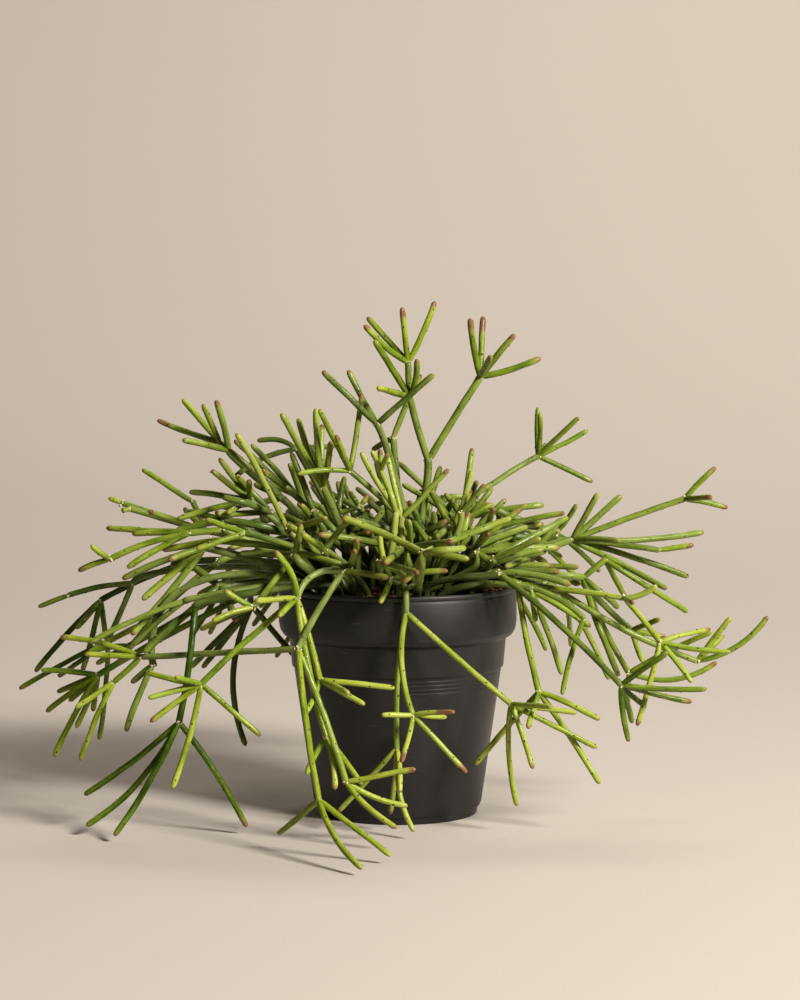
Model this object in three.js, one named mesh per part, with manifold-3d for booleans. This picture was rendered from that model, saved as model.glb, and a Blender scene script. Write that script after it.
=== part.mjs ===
// A mistletoe cactus: leafless pencil stems that fork in whorls, rising from the middle and
// hanging over the rim of a black plastic nursery pot filled with peat.
// Millimetres, +Z up, front towards -Y. The origin is the centre of the pot's underside.
import * as THREE from "three";
import { mergeVertices } from "three/addons/utils/BufferGeometryUtils.js";
import Module from "manifold-3d";

const wasm = await Module();
wasm.setup();

// ---- Driving dimensions -------------------------------------------------------------------------
const POT_HEIGHT = 115;
const POT_SEGMENTS = 40;
const POT_WALL = 1.7;
const POT_FLOOR = 2.2;
const RIM_RADIUS = 59.6;
const RIM_BOTTOM = 89;
const BODY_TOP_RADIUS = 54.3;
const BEAD_HEIGHT = 75;
const BEAD_RADIUS = 53;
const FOOT_RADIUS = 41.5;
const FOOT_RECESS = 1.2;
const PAD_RADIUS = 16;
const DRAIN_COUNT = 6;
const DRAIN_RADIUS = 4;
const DRAIN_CIRCLE = 28;
const DRAIN_SIDES = 8;

const SOIL_SIDES = 24;
const SOIL_GAP = 0.45;
const SOIL_EDGE = 108.6;
const SOIL_CROWN = 111.8;
const SOIL_CRUMB = 0.7;
const SOIL_RINGS = [54.6, 47, 38, 28, 18, 8];

const ROOT_DEPTH = 11;
const ROOT_TOP = 115;
const ROOT_RISE = 9;
const HOLE_GAP = 0.45;

const STEM_SIDES = 4;
const STEM_STRAIGHT_BEND = 0.9;
const STEM_EASY_BEND = 4.5;
const STEM_BANDS = [1, 2, 4];
const STEM_CLEARANCE = 0.62;
const AGE_TAPER = [1, 0.88, 0.8, 0.74, 0.7, 0.68];
const TIP_BLUNT = 0.9;
const BASE_PINCH = 0.86;
const TIP_PINCH = 0.94;
const RUN_TURN = 0.9;
const STEM_DARK = 0x3f5226;
const STEM_BRIGHT = 0x93a63c;

const BACK_COUNT = 10;
const BACK_SEED = 29;
const BACK_FROM = (38 * Math.PI) / 180;
const BACK_TO = (142 * Math.PI) / 180;
const BACK_RING_OUT = 44;
const BACK_RING_IN = 33;

const EASE_ROUNDS = 320;
const EASE_SHARE = 0.6;
const EASE_LIMIT = 2;
const POT_CHECKS = 40;

// ---- The drawing sheet --------------------------------------------------------------------------
// The stems are drawn on an upright sheet that faces a viewing point in front of the plant and
// leans as the line of view does. The sheet's grid is half a millimetre. A joint is a column and a
// row on it, and a depth: how far behind (+) or in front of (-) the pot's axis it stands, in mm.
// It lies on the line from the viewing point through its place on the sheet.
const VIEW_POINT = new THREE.Vector3(1.15, -1500, 280);
const SHEET_CENTRE = new THREE.Vector3(1.15, 0, 157);
const SHEET_COLUMN = 400;
const SHEET_ROW = 500;
const SHEET_GRID = 0.5;

// Each stem: name, root [x, y] on the soil, radius, tone from dark (0) to bright (1), and its
// joints as [from joint, column, row, step in depth, bow]. The bow is how many grid squares the
// middle of the shoot stands off its straight line, towards the upper right.
const DRAWN_STEMS = [
  ["tall_fork", [7, 6], 2.3, 0.55, [
    [0, 428, 461, -4, 1], [1, 410, 398, -6, -1], [2, 408, 363, 3, 0], [3, 367, 317, 8, 0],
    [3, 364, 325, -12, -2], [3, 402, 307, -4, 0], [3, 435, 301, 6, 2], [2, 374, 340, -10, 0],
    [2, 377, 388, -22, 1], [2, 417, 359, -12, 2], [1, 480, 377, 4, 0], [11, 470, 318, -6, -1],
    [11, 483, 316, 8, 0], [11, 491, 356, -24, 0], [11, 515, 334, -8, 0], [11, 541, 358, 6, -2],
  ]],
  ["crown_left", [11, -2], 2.0, 0.3, [
    [0, 377, 424, -10, 4], [1, 322, 371, -4, 0], [1, 348, 370, 6, -1], [1, 434, 374, -14, 0],
  ]],
  ["behind_fork", [3, 13], 1.95, 0.5, [
    [0, 393, 438, 8, 1], [1, 421, 374, 4, -1], [1, 372, 450, 10, 0],
  ]],
  ["crown_elbow", [1, -12], 1.95, 0.5, [
    [0, 397, 514, -2, 2], [1, 350, 471, -6, 1], [2, 297, 474, -10, 2], [2, 319, 409, -4, 0],
    [2, 336, 435, -16, 0], [2, 362, 393, 10, 1],
  ]],
  ["crown_fan", [-19, -5], 2.05, 0.65, [
    [0, 323, 487, -8, 3], [1, 281, 413, -8, 0], [1, 298, 418, 6, -2], [1, 316, 408, -4, -2],
    [1, 322, 424, 10, -1], [1, 331, 441, -16, 1],
  ]],
  ["crown_bright", [8, -20], 1.75, 0.95, [
    [0, 402, 518, -8, -2], [1, 361, 452, -10, -2], [1, 387, 455, 8, 0], [1, 449, 469, -8, 0],
  ]],
  ["crown_right", [17, -24], 1.8, 0.7, [
    [0, 461, 512, -8, 2], [1, 472, 470, 4, 0], [1, 485, 484, -8, 1],
  ]],
  ["crown_lone", [16, -9], 1.7, 0.35, [
    [0, 433, 511, -4, 2],
  ]],
  ["long_reach", [14, 22], 1.95, 0.3, [
    [0, 470, 498, 16, 8], [1, 538, 456, 24, 1], [2, 538, 407, 6, -1], [2, 540, 413, -10, 1],
    [2, 579, 417, -8, 0], [2, 588, 430, 6, -1], [2, 593, 482, 2, 0], [2, 546, 444, 16, 0],
    [1, 477, 481, -12, 0], [1, 556, 533, 10, -1], [10, 577, 504, -8, 1], [10, 600, 572, 16, 2],
  ]],
  ["back_sweep", [28, 6], 1.9, 0.35, [
    [0, 473, 532, 8, 4], [1, 445, 493, -10, 0], [1, 398, 462, 16, 0], [1, 402, 484, 6, 2],
    [1, 506, 499, 6, 0], [1, 565, 513, -4, 1], [1, 544, 524, 12, 1],
  ]],
  ["grey_arch", [-18, 22], 1.8, 0.3, [
    [0, 297, 449, 22, 3], [1, 257, 441, 6, 5], [1, 233, 479, -6, 6], [1, 336, 446, 8, 0],
  ]],
  ["high_left", [-13, 13], 2.2, 0.6, [
    [0, 229, 451, 44, 2], [1, 220, 443, 2, 0], [2, 157, 420, 8, -1], [2, 182, 399, 8, 0],
    [2, 203, 404, -16, 0], [1, 216, 400, -14, 1], [1, 182, 440, -12, 1],
  ]],
  ["bright_lean", [-25, -12], 1.9, 0.85, [
    [0, 287, 529, -4, 4], [1, 236, 433, -8, 2], [1, 327, 518, -24, 0],
  ]],
  ["left_twins", [-27, 9], 1.9, 0.45, [
    [0, 303, 503, 10, 2], [1, 234, 440, 6, 0], [1, 251, 444, -8, 1], [1, 289, 463, -14, 1],
  ]],
  ["left_comb", [-33, 0], 1.95, 0.45, [
    [0, 250, 500, -2, 5], [1, 211, 470, -8, 0], [1, 219, 458, 8, 0], [1, 189, 492, 6, 1],
    [1, 249, 480, -16, 0], [1, 227, 513, -20, 0], [1, 177, 519, -8, 1],
  ]],
  ["left_spears", [-35, 16], 2.0, 0.6, [
    [0, 205, 531, 26, 8], [1, 122, 503, 8, 0], [2, 108, 498, 0, 0], [1, 131, 509, -8, 0],
    [4, 121, 511, -2, 0], [1, 148, 511, -16, 0], [1, 193, 502, 4, 0], [7, 142, 469, 6, 0],
    [1, 184, 508, -14, 0],
  ]],
  ["left_table", [-40, -6], 2.2, 0.5, [
    [0, 224, 530, -12, 6], [1, 190, 533, -2, 0], [2, 110, 559, -4, 3], [3, 78, 571, 4, 1],
    [3, 91, 545, -8, -1], [2, 127, 568, -14, 2], [2, 132, 534, 8, 1], [2, 106, 528, 18, 0],
  ]],
  ["left_droop", [-45, -11], 2.2, 0.45, [
    [0, 205, 547, -16, 6], [1, 142, 600, -10, 1], [1, 131, 635, -20, 2], [1, 168, 560, -12, 0],
    [1, 122, 579, 8, 2],
  ]],
  ["dark_boom", [-42, 22], 1.9, 0.15, [
    [0, 133, 583, 34, 14], [1, 69, 595, 6, 2], [2, 38, 607, 2, 0], [1, 108, 641, -6, 0],
    [4, 19, 689, -8, 1], [4, 58, 677, 8, 0], [4, 99, 740, -4, 2],
  ]],
  ["dark_claw", [-33, 30], 2.15, 0.12, [
    [0, 190, 562, 32, 8], [1, 101, 600, 20, 3], [2, 35, 672, 4, -2], [2, 76, 629, -10, 0],
    [2, 82, 672, -6, 1], [2, 106, 640, 8, 0],
  ]],
  ["low_fan", [-46, 3], 2.1, 0.35, [
    [0, 256, 590, 2, 10], [1, 98, 675, 4, 2], [2, 41, 670, -4, 1], [2, 57, 692, 10, 0],
    [2, 46, 712, -6, 1], [2, 69, 701, 14, 0], [2, 76, 728, 4, 1], [2, 93, 711, 16, 0],
    [2, 54, 757, -14, -2],
  ]],
  ["low_thin", [-33, -27], 1.8, 0.4, [
    [0, 185, 601, -22, 8], [1, 90, 643, -10, 3], [1, 128, 650, 8, 2],
  ]],
  ["brown_knee", [-46, -19], 2.4, 0.2, [
    [0, 220, 586, -14, 4], [1, 193, 567, 10, 0], [1, 143, 653, -16, 1], [1, 236, 622, -18, 1],
  ]],
  ["hanging_claw", [-29, -35], 2.1, 0.1, [
    [0, 195, 606, -14, 4], [1, 179, 722, -14, 2], [2, 84, 795, 8, -3], [2, 86, 826, -6, 10],
    [2, 114, 836, -21, 4], [2, 247, 827, -1, 3],
  ]],
  ["grey_trunk", [-43, -27], 2.0, 0.3, [
    [0, 153, 665, -20, 18], [1, 131, 683, 8, 0], [1, 126, 732, -8, -2],
  ]],
  ["yellow_hook", [-31, -16], 2.0, 0.55, [
    [0, 302, 541, -15, 6], [1, 253, 607, -28, 2], [2, 212, 621, -10, 1], [2, 200, 630, 4, 1],
    [2, 224, 590, -4, -1],
  ]],
  ["front_fountain", [-22, -42], 2.15, 0.62, [
    [0, 343, 572, -10, 4], [1, 297, 598, -16, 12], [2, 326, 737, -16, -3], [3, 306, 775, -4, -1],
    [3, 335, 790, -10, 3], [3, 362, 785, 4, 1], [2, 320, 680, -8, 1], [7, 395, 688, -2, 0],
    [7, 349, 694, -22, 1], [7, 365, 705, -12, 0], [7, 306, 713, -14, 1], [2, 278, 617, -14, 0],
    [2, 254, 601, -12, 0], [2, 201, 684, -14, 2], [14, 145, 672, 6, -1], [14, 175, 677, -16, 0],
    [14, 148, 698, -10, 0], [14, 150, 722, -4, 0], [14, 172, 789, -14, 3], [14, 261, 736, 2, 0],
    [2, 275, 551, -8, 5], [1, 298, 649, -30, -2], [22, 319, 800, -40, -2], [23, 278, 834, 20, 0],
    [23, 362, 869, -40, -6], [23, 391, 856, -14, 0], [22, 346, 782, -12, 2],
    [27, 416, 769, -6, 0], [27, 408, 806, 4, -4], [27, 397, 828, -14, -4], [22, 141, 657, 40, 0],
    [31, 60, 637, 4, 4], [31, 84, 654, -8, 0], [31, 114, 682, -2, 0], [34, 75, 708, -4, 0],
    [34, 80, 761, -8, -2], [1, 389, 578, -10, 1],
  ]],
  ["front_drop", [9, -44], 2.0, 0.75, [
    [0, 402, 585, -8, 2], [1, 391, 579, -2, 0], [2, 380, 530, -2, -3], [2, 448, 571, -8, 2],
    [2, 380, 603, -18, 0], [1, 406, 612, -10, 1], [6, 413, 715, -12, -8], [7, 381, 715, -6, 0],
    [7, 401, 763, -8, 1], [7, 455, 712, -10, 1], [7, 447, 717, 8, 0], [7, 467, 773, -2, 0],
    [6, 397, 748, -2, -4], [13, 338, 812, 6, 0], [13, 414, 832, -14, -6], [13, 390, 815, 6, 1],
    [13, 400, 793, -12, 1], [6, 511, 704, -8, -1], [18, 552, 707, -26, 0], [18, 577, 713, -4, 0],
    [18, 597, 748, 4, 0], [18, 533, 769, -8, 1], [18, 517, 806, 8, -5],
  ]],
  ["right_knuckle", [24, -28], 2.15, 0.6, [
    [0, 477, 552, -6, 4], [1, 518, 584, -8, 1], [2, 539, 692, -24, -2], [3, 600, 720, -6, 2],
    [3, 600, 784, -2, 1], [3, 528, 728, -30, 0], [3, 475, 765, 8, -1], [2, 624, 598, -6, 1],
    [8, 657, 585, -6, -3], [8, 660, 642, -8, 1], [10, 711, 629, 6, 1], [10, 731, 652, -6, -2],
    [10, 692, 683, -10, 1], [10, 637, 726, -8, 1], [8, 633, 603, -22, 0], [2, 591, 627, -4, 2],
    [1, 560, 548, 10, 2],
  ]],
  ["right_star", [36, -4], 2.0, 0.6, [
    [0, 572, 540, 0, 8], [1, 598, 493, -6, 0], [1, 622, 495, 8, 0], [1, 684, 499, 10, 1],
    [4, 716, 467, 4, 1], [4, 712, 497, -16, 0], [4, 728, 508, 4, 1], [1, 621, 541, -18, 1],
    [1, 704, 532, 18, -4], [1, 658, 550, -2, 1], [10, 694, 545, 2, 0], [1, 689, 577, 10, 2],
    [1, 667, 589, -12, 1], [1, 505, 567, -42, 1],
  ]],
  ["right_branch", [41, -17], 2.0, 0.5, [
    [0, 583, 578, -2, 8], [1, 618, 608, 4, 1], [1, 605, 560, 6, 0], [3, 688, 612, 6, 0],
    [3, 625, 597, 14, 0], [1, 629, 673, 26, -3], [6, 717, 662, 6, -12], [6, 712, 632, -10, 2],
    [6, 627, 710, -8, 0], [1, 619, 676, -12, -2], [1, 632, 630, 12, -3], [11, 660, 619, -12, 0],
    [11, 666, 637, 6, 0], [11, 643, 662, -10, -1],
  ]],
  ["right_arc", [41, -25], 1.95, 0.65, [
    [0, 545, 581, -12, 5], [1, 697, 661, 4, -6], [2, 731, 617, -4, 0], [2, 724, 635, 10, 0],
    [2, 768, 616, -6, -9],
  ]],
  ["right_cross", [14, -35], 1.95, 0.4, [
    [0, 499, 573, -14, 5], [1, 621, 685, -26, 3], [2, 668, 652, -10, 0], [2, 707, 689, -4, -2],
    [2, 692, 702, 10, -1], [2, 646, 708, 16, 0], [2, 629, 742, -4, -2], [2, 632, 723, 12, 1],
  ]],
  ["right_drop", [36, -37], 1.8, 0.5, [
    [0, 531, 588, -14, 6], [1, 562, 675, 4, 1], [1, 536, 622, -4, 0], [1, 584, 618, -6, 4],
    [4, 562, 695, -8, -2],
  ]],
  ["right_cluster", [33, -19], 1.95, 0.6, [
    [0, 520, 566, 4, 4], [1, 579, 567, -10, 0], [1, 580, 585, -4, 2], [1, 562, 518, -2, 0],
  ]],
  ["left_under", [-44, 12], 2.0, 0.15, [
    [0, 252, 606, 8, 14], [1, 300, 662, 10, 0], [1, 246, 746, 8, -16], [1, 190, 668, -8, 0],
    [1, 202, 668, 10, 0],
  ]],
];

// ---- Helpers ------------------------------------------------------------------------------------
const UP = new THREE.Vector3(0, 0, 1);
const SHEET_LEAN = Math.atan2(VIEW_POINT.z - SHEET_CENTRE.z, SHEET_CENTRE.y - VIEW_POINT.y);
const SHEET_RIGHT = new THREE.Vector3(1, 0, 0);
const SHEET_UP = new THREE.Vector3(0, Math.sin(SHEET_LEAN), Math.cos(SHEET_LEAN));
const SHEET_AHEAD = new THREE.Vector3(0, Math.cos(SHEET_LEAN), -Math.sin(SHEET_LEAN));

// The same draws each time, from a fixed seed.
function seededDraws(seed) {
  let state = seed;
  return (low, high) => {
    state = (Math.imul(state, 1664525) + 1013904223) >>> 0;
    return low + ((high - low) * state) / 4294967296;
  };
}

function sheetPoint(column, row, depth) {
  const onSheet = SHEET_CENTRE.clone()
    .addScaledVector(SHEET_RIGHT, (column - SHEET_COLUMN) * SHEET_GRID)
    .addScaledVector(SHEET_UP, (SHEET_ROW - row) * SHEET_GRID);
  const share = (depth - VIEW_POINT.y) / (onSheet.y - VIEW_POINT.y);
  return VIEW_POINT.clone().lerp(onSheet, share);
}

function sheetSpot(point) {
  const line = point.clone().sub(VIEW_POINT);
  const reach = SHEET_CENTRE.clone().sub(VIEW_POINT).dot(SHEET_AHEAD);
  line.multiplyScalar(reach / line.dot(SHEET_AHEAD));
  const offset = line.add(VIEW_POINT).sub(SHEET_CENTRE);
  return [
    SHEET_COLUMN + offset.dot(SHEET_RIGHT) / SHEET_GRID,
    SHEET_ROW - offset.dot(SHEET_UP) / SHEET_GRID,
  ];
}

// A geometry as a solid: shared corners merged, flat scraps dropped, faces pointing out.
function solidOf(geometry) {
  const bare = geometry.index ? geometry.toNonIndexed() : geometry.clone();
  bare.deleteAttribute("normal");
  bare.deleteAttribute("uv");
  const merged = mergeVertices(bare, 1e-4);
  const place = merged.attributes.position.array;
  const corners = merged.index.array;
  const kept = [];
  let volume = 0;
  for (let at = 0; at < corners.length; at += 3) {
    const [a, b, c] = [corners[at], corners[at + 1], corners[at + 2]];
    if (a === b || b === c || c === a) continue;
    kept.push(a, b, c);
    const [p, q, r] = [a, b, c].map((corner) => new THREE.Vector3().fromArray(place, corner * 3));
    volume += p.dot(q.cross(r));
  }
  if (volume < 0) kept.reverse();
  return new wasm.Manifold(
    new wasm.Mesh({
      numProp: 3,
      vertProperties: Float32Array.from(place),
      triVerts: Uint32Array.from(kept),
    }),
  );
}

function meshOf(name, solid, look) {
  const result = solid.getMesh();
  const geometry = new THREE.BufferGeometry();
  geometry.setAttribute("position", new THREE.BufferAttribute(result.vertProperties, 3));
  geometry.setIndex(new THREE.BufferAttribute(result.triVerts, 1));
  geometry.computeVertexNormals();
  const mesh = new THREE.Mesh(geometry, new THREE.MeshStandardMaterial(look));
  mesh.name = name;
  return mesh;
}

// A profile of [radius, height] pairs turned about the Z axis.
function turned(profile, sides) {
  const points = profile.map(([radius, height]) => new THREE.Vector2(radius, height));
  return new THREE.LatheGeometry(points, sides).rotateX(Math.PI / 2);
}

// ---- Pot ----------------------------------------------------------------------------------------
// Outside of the pot from the foot up to the lip, as [radius, height].
const POT_OUTSIDE = [
  [FOOT_RADIUS - 1.6, 0],
  [FOOT_RADIUS - 1.4, 3.2],
  [FOOT_RADIUS, 4],
  [43.85, 16],
  [47.6, 42],
  [50.9, 64],
  [51.9, BEAD_HEIGHT - 2],
  [BEAD_RADIUS, BEAD_HEIGHT - 1],
  [BEAD_RADIUS + 0.2, BEAD_HEIGHT + 1],
  [BODY_TOP_RADIUS, RIM_BOTTOM - 0.5],
  [RIM_RADIUS - 2.6, RIM_BOTTOM + 1],
  [RIM_RADIUS - 0.6, RIM_BOTTOM + 4],
  [RIM_RADIUS, RIM_BOTTOM + 8],
  [RIM_RADIUS, POT_HEIGHT - 0.6],
  [RIM_RADIUS - 0.6, POT_HEIGHT],
];

// Inside of the wall from the top down: the outside drawn in by the wall.
const POT_INSIDE = [
  [RIM_RADIUS - POT_WALL, POT_HEIGHT],
  [RIM_RADIUS - POT_WALL, RIM_BOTTOM + 8],
  [BODY_TOP_RADIUS - POT_WALL, RIM_BOTTOM + 1],
  [FOOT_RADIUS - POT_WALL, POT_FLOOR + FOOT_RECESS],
];

function outsideRadius(height) {
  const above = POT_OUTSIDE.findIndex(([, level]) => level > height);
  if (above < 1) return above === 0 ? POT_OUTSIDE[0][0] : RIM_RADIUS;
  const [low, high] = [POT_OUTSIDE[above - 1], POT_OUTSIDE[above]];
  return low[0] + ((high[0] - low[0]) * (height - low[1])) / (high[1] - low[1]);
}

function insideRadius(height) {
  const below = POT_INSIDE.findIndex(([, level]) => level <= height);
  if (below < 1) return POT_INSIDE[0][0];
  const [high, low] = [POT_INSIDE[below - 1], POT_INSIDE[below]];
  return low[0] + ((high[0] - low[0]) * (height - low[1])) / (high[1] - low[1]);
}

function makePot() {
  // The underside is a flat pad in the middle and a foot ring, with a shallow recess between.
  const underside = [
    [0, 0],
    [PAD_RADIUS, 0],
    [PAD_RADIUS + 1, FOOT_RECESS],
    [FOOT_RADIUS - 4.4, FOOT_RECESS],
    [FOOT_RADIUS - 3.4, 0],
  ];
  const profile = [...underside, ...POT_OUTSIDE, ...POT_INSIDE, [0, POT_FLOOR + FOOT_RECESS]];
  let pot = solidOf(turned(profile, POT_SEGMENTS));
  for (let hole = 0; hole < DRAIN_COUNT; hole += 1) {
    const turn = ((hole + 0.5) / DRAIN_COUNT) * Math.PI * 2;
    const drill = turned([[0, -1], [DRAIN_RADIUS, -1], [DRAIN_RADIUS, 6], [0, 6]], DRAIN_SIDES);
    drill.translate(Math.cos(turn) * DRAIN_CIRCLE, Math.sin(turn) * DRAIN_CIRCLE, 0);
    pot = pot.subtract(solidOf(drill));
  }
  return meshOf("pot", pot, { color: 0x262422, roughness: 0.5, metalness: 0 });
}

// ---- Soil ---------------------------------------------------------------------------------------
function soilHeight(x, y) {
  const away = Math.min(1, Math.hypot(x, y) / SOIL_RINGS[0]);
  const crumb = Math.sin(x * 0.31 + y * 0.17) * Math.cos(y * 0.27 - x * 0.13);
  return SOIL_CROWN - (SOIL_CROWN - SOIL_EDGE) * away * away + SOIL_CRUMB * crumb * (1 - away);
}

function rootPlug(stem, radius, bottom, top) {
  const plug = turned([[0, bottom], [radius, bottom], [radius, top], [0, top]], STEM_SIDES);
  return solidOf(plug.translate(stem.root.x, stem.root.y, 0));
}

function makeSoil(stems) {
  const base = POT_FLOOR + FOOT_RECESS + SOIL_GAP;
  const shoulder = RIM_BOTTOM + 1;
  const side = [base, shoulder, RIM_BOTTOM + 8].map((level) => [insideRadius(level) - SOIL_GAP, level]);
  const top = SOIL_RINGS.map((radius) => [radius, SOIL_EDGE]);
  const geometry = turned([[0, base], ...side, ...top, [0, SOIL_EDGE]], SOIL_SIDES);
  const place = geometry.attributes.position;
  for (let at = 0; at < place.count; at += 1) {
    if (place.getZ(at) > SOIL_EDGE - 0.01) place.setZ(at, soilHeight(place.getX(at), place.getY(at)));
  }
  let soil = solidOf(geometry);
  for (const stem of stems) {
    const hole = rootPlug(stem, stem.radius + HOLE_GAP, ROOT_TOP - ROOT_DEPTH - HOLE_GAP, ROOT_TOP + 4);
    soil = soil.subtract(hole);
  }
  return meshOf("soil", soil, { color: 0x3a2a20, roughness: 1, metalness: 0 });
}

// ---- Stems: growing -----------------------------------------------------------------------------
// A stem is a tree of joints and of the shoots between them. Joint 0 is its root.
function newStem(name, x, y, radius, tone) {
  const root = new THREE.Vector3(x, y, ROOT_TOP);
  const joint = { fixed: root, spot: sheetSpot(root), depth: y, age: 0 };
  return { name, root, radius, tone, joints: [joint], shoots: [] };
}

function addShoot(stem, from, spot, depth, bow) {
  const start = stem.joints[from];
  const end = { spot, depth, age: start.age + 1 };
  const radius = stem.radius * AGE_TAPER[Math.min(start.age, AGE_TAPER.length - 1)];
  start.forks = true;
  stem.joints.push(end);
  stem.shoots.push({ stem, from: start, to: end, bow, radius, sag: 0, lift: 0 });
  return stem.joints.length - 1;
}

function drawnStem([name, [x, y], radius, tone, rows]) {
  const stem = newStem(`stem_${name}`, x, y, radius, tone);
  for (const [from, column, row, step, bow] of rows) {
    addShoot(stem, from, [column, row], stem.joints[from].depth + step, bow);
  }
  return stem;
}

// The far side of the plant: stems that rise a little, lean out and hang, forking twice.
function backStem(index) {
  const draw = seededDraws(BACK_SEED + index);
  const share = (index + 0.5) / BACK_COUNT;
  const bearing = THREE.MathUtils.lerp(BACK_FROM, BACK_TO, share);
  const ring = index % 2 ? BACK_RING_IN : BACK_RING_OUT;
  const out = (angle, reach, height) => {
    const point = new THREE.Vector3(Math.cos(angle) * reach, Math.sin(angle) * reach, height);
    return [sheetSpot(point), point.y];
  };
  const name = `stem_back_${String(index + 1).padStart(2, "0")}`;
  const root = [Math.cos(bearing) * ring, Math.sin(bearing) * ring];
  const stem = newStem(name, ...root, draw(1.9, 2.3), draw(0.2, 0.6));
  const reach = ring + draw(20, 32);
  const height = ROOT_TOP + (index % 2 ? draw(24, 38) : draw(8, 16));
  const knee = addShoot(stem, 0, ...out(bearing, reach, height), 0);
  for (const side of [-1, 1]) {
    const swing = bearing + side * draw(0.1, 0.2);
    const far = reach + draw(28, 46);
    const drop = height - draw(-2, 34);
    const fork = addShoot(stem, knee, ...out(swing, far, drop), draw(2, 6));
    for (const tip of [-1, 1]) {
      const turn = swing + tip * draw(0.08, 0.2);
      const end = far + draw(12, 36);
      addShoot(stem, fork, ...out(turn, end, Math.max(14, drop - draw(4, 44))), draw(0, 4));
    }
  }
  const top = out(bearing + draw(-0.1, 0.1), reach + draw(6, 16), height + draw(16, 30));
  addShoot(stem, knee, ...top, 0);
  return stem;
}

// ---- Stems: shape of a shoot --------------------------------------------------------------------
function jointPlace(joint) {
  return joint.fixed ? joint.fixed.clone() : sheetPoint(...joint.spot, joint.depth);
}

// The middle of a shoot: halfway, bowed on the sheet towards its upper right, then sagged in depth
// and lifted.
function middlePlace(shoot) {
  const [a, b] = [shoot.from.spot, shoot.to.spot];
  const [across, down] = [b[0] - a[0], b[1] - a[1]];
  const side = across + down < 0 ? 1 : -1;
  const scale = (shoot.bow * side) / Math.hypot(across, down);
  const column = (a[0] + b[0]) / 2 - down * scale;
  const row = (a[1] + b[1]) / 2 + across * scale;
  const middle = sheetPoint(column, row, (shoot.from.depth + shoot.to.depth) / 2 + shoot.sag);
  middle.z += shoot.lift;
  return middle;
}

// A shoot leaves the soil upright, and any other shoot is one smooth bow through its middle.
function shootCurve(shoot) {
  const [start, middle, end] = [jointPlace(shoot.from), middlePlace(shoot), jointPlace(shoot.to)];
  if (shoot.from.fixed) {
    const rise = start.clone().addScaledVector(UP, ROOT_RISE);
    const lean = middle.multiplyScalar(8).sub(start).addScaledVector(rise, -3).sub(end);
    return new THREE.CubicBezierCurve3(start, rise, lean.divideScalar(3), end);
  }
  const pull = middle.multiplyScalar(2).addScaledVector(start, -0.5).addScaledVector(end, -0.5);
  return new THREE.CubicBezierCurve3(
    start,
    start.clone().lerp(pull, 2 / 3),
    end.clone().lerp(pull, 2 / 3),
    end,
  );
}

// The number of straight bands that a shoot's tube is made of.
function bandCount(shoot, curve) {
  const bend = curve.getPoint(0.5).distanceTo(curve.v0.clone().lerp(curve.v3, 0.5));
  if (shoot.from.fixed || bend > STEM_EASY_BEND) return STEM_BANDS[2];
  return bend < STEM_STRAIGHT_BEND ? STEM_BANDS[0] : STEM_BANDS[1];
}

// ---- Stems: easing apart ------------------------------------------------------------------------
// Stems that would cross are bent clear. Each round measures every near miss and moves joints and
// bows a little along the lines of view, so the drawing on the sheet stays as it is. What would cut
// the pot is moved outwards, or lifted over the rim.
function measureShoot(shoot) {
  const reach = shoot.radius + STEM_CLEARANCE / 2;
  const curve = shootCurve(shoot);
  shoot.curve = curve;
  shoot.course = curve.getPoints(bandCount(shoot, curve));
  shoot.box = new THREE.Box3().setFromPoints(shoot.course).expandByScalar(reach);
}

// The closest points of the lines a-b and c-d: their shares along them and the way between them.
function closestPoints(a, b, c, d) {
  const [first, second, apart] = [b.clone().sub(a), d.clone().sub(c), a.clone().sub(c)];
  const [aa, bb, ab] = [first.dot(first), second.dot(second), first.dot(second)];
  const [af, bf] = [first.dot(apart), second.dot(apart)];
  const { clamp } = THREE.MathUtils;
  const spread = aa * bb - ab * ab;
  let along = spread > 1e-9 ? clamp((ab * bf - af * bb) / spread, 0, 1) : 0;
  let other = (ab * along + bf) / bb;
  if (other < 0) along = clamp(-af / aa, 0, 1);
  if (other > 1) along = clamp((ab - af) / aa, 0, 1);
  other = clamp(other, 0, 1);
  const gap = second.multiplyScalar(other).sub(first.multiplyScalar(along)).sub(apart);
  return { along, other, gap };
}

// Of the pushes that one value gets in a round, the strongest each way count.
function nudge(target, key, amount) {
  const pushes = (target.pushes ??= {});
  const [back, ahead] = pushes[key] ?? [0, 0];
  pushes[key] = [Math.min(back, amount), Math.max(ahead, amount)];
}

function yieldTo(target) {
  for (const [key, [back, ahead]] of Object.entries(target.pushes ?? {})) {
    const move = (back + ahead) * EASE_SHARE;
    target[key] += THREE.MathUtils.clamp(move, -EASE_LIMIT, EASE_LIMIT);
  }
  target.pushes = {};
}

function pushDepth(shoot, share, push) {
  const pulls = [shoot.from.fixed ? 0 : 1 - share, share, 4 * share * (1 - share)];
  const whole = pulls.reduce((sum, pull) => sum + pull * pull, 0);
  if (whole < 1e-6) return;
  nudge(shoot.from, "depth", (push * pulls[0]) / whole);
  nudge(shoot.to, "depth", (push * pulls[1]) / whole);
  nudge(shoot, "sag", (push * pulls[2]) / whole);
}

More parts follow.
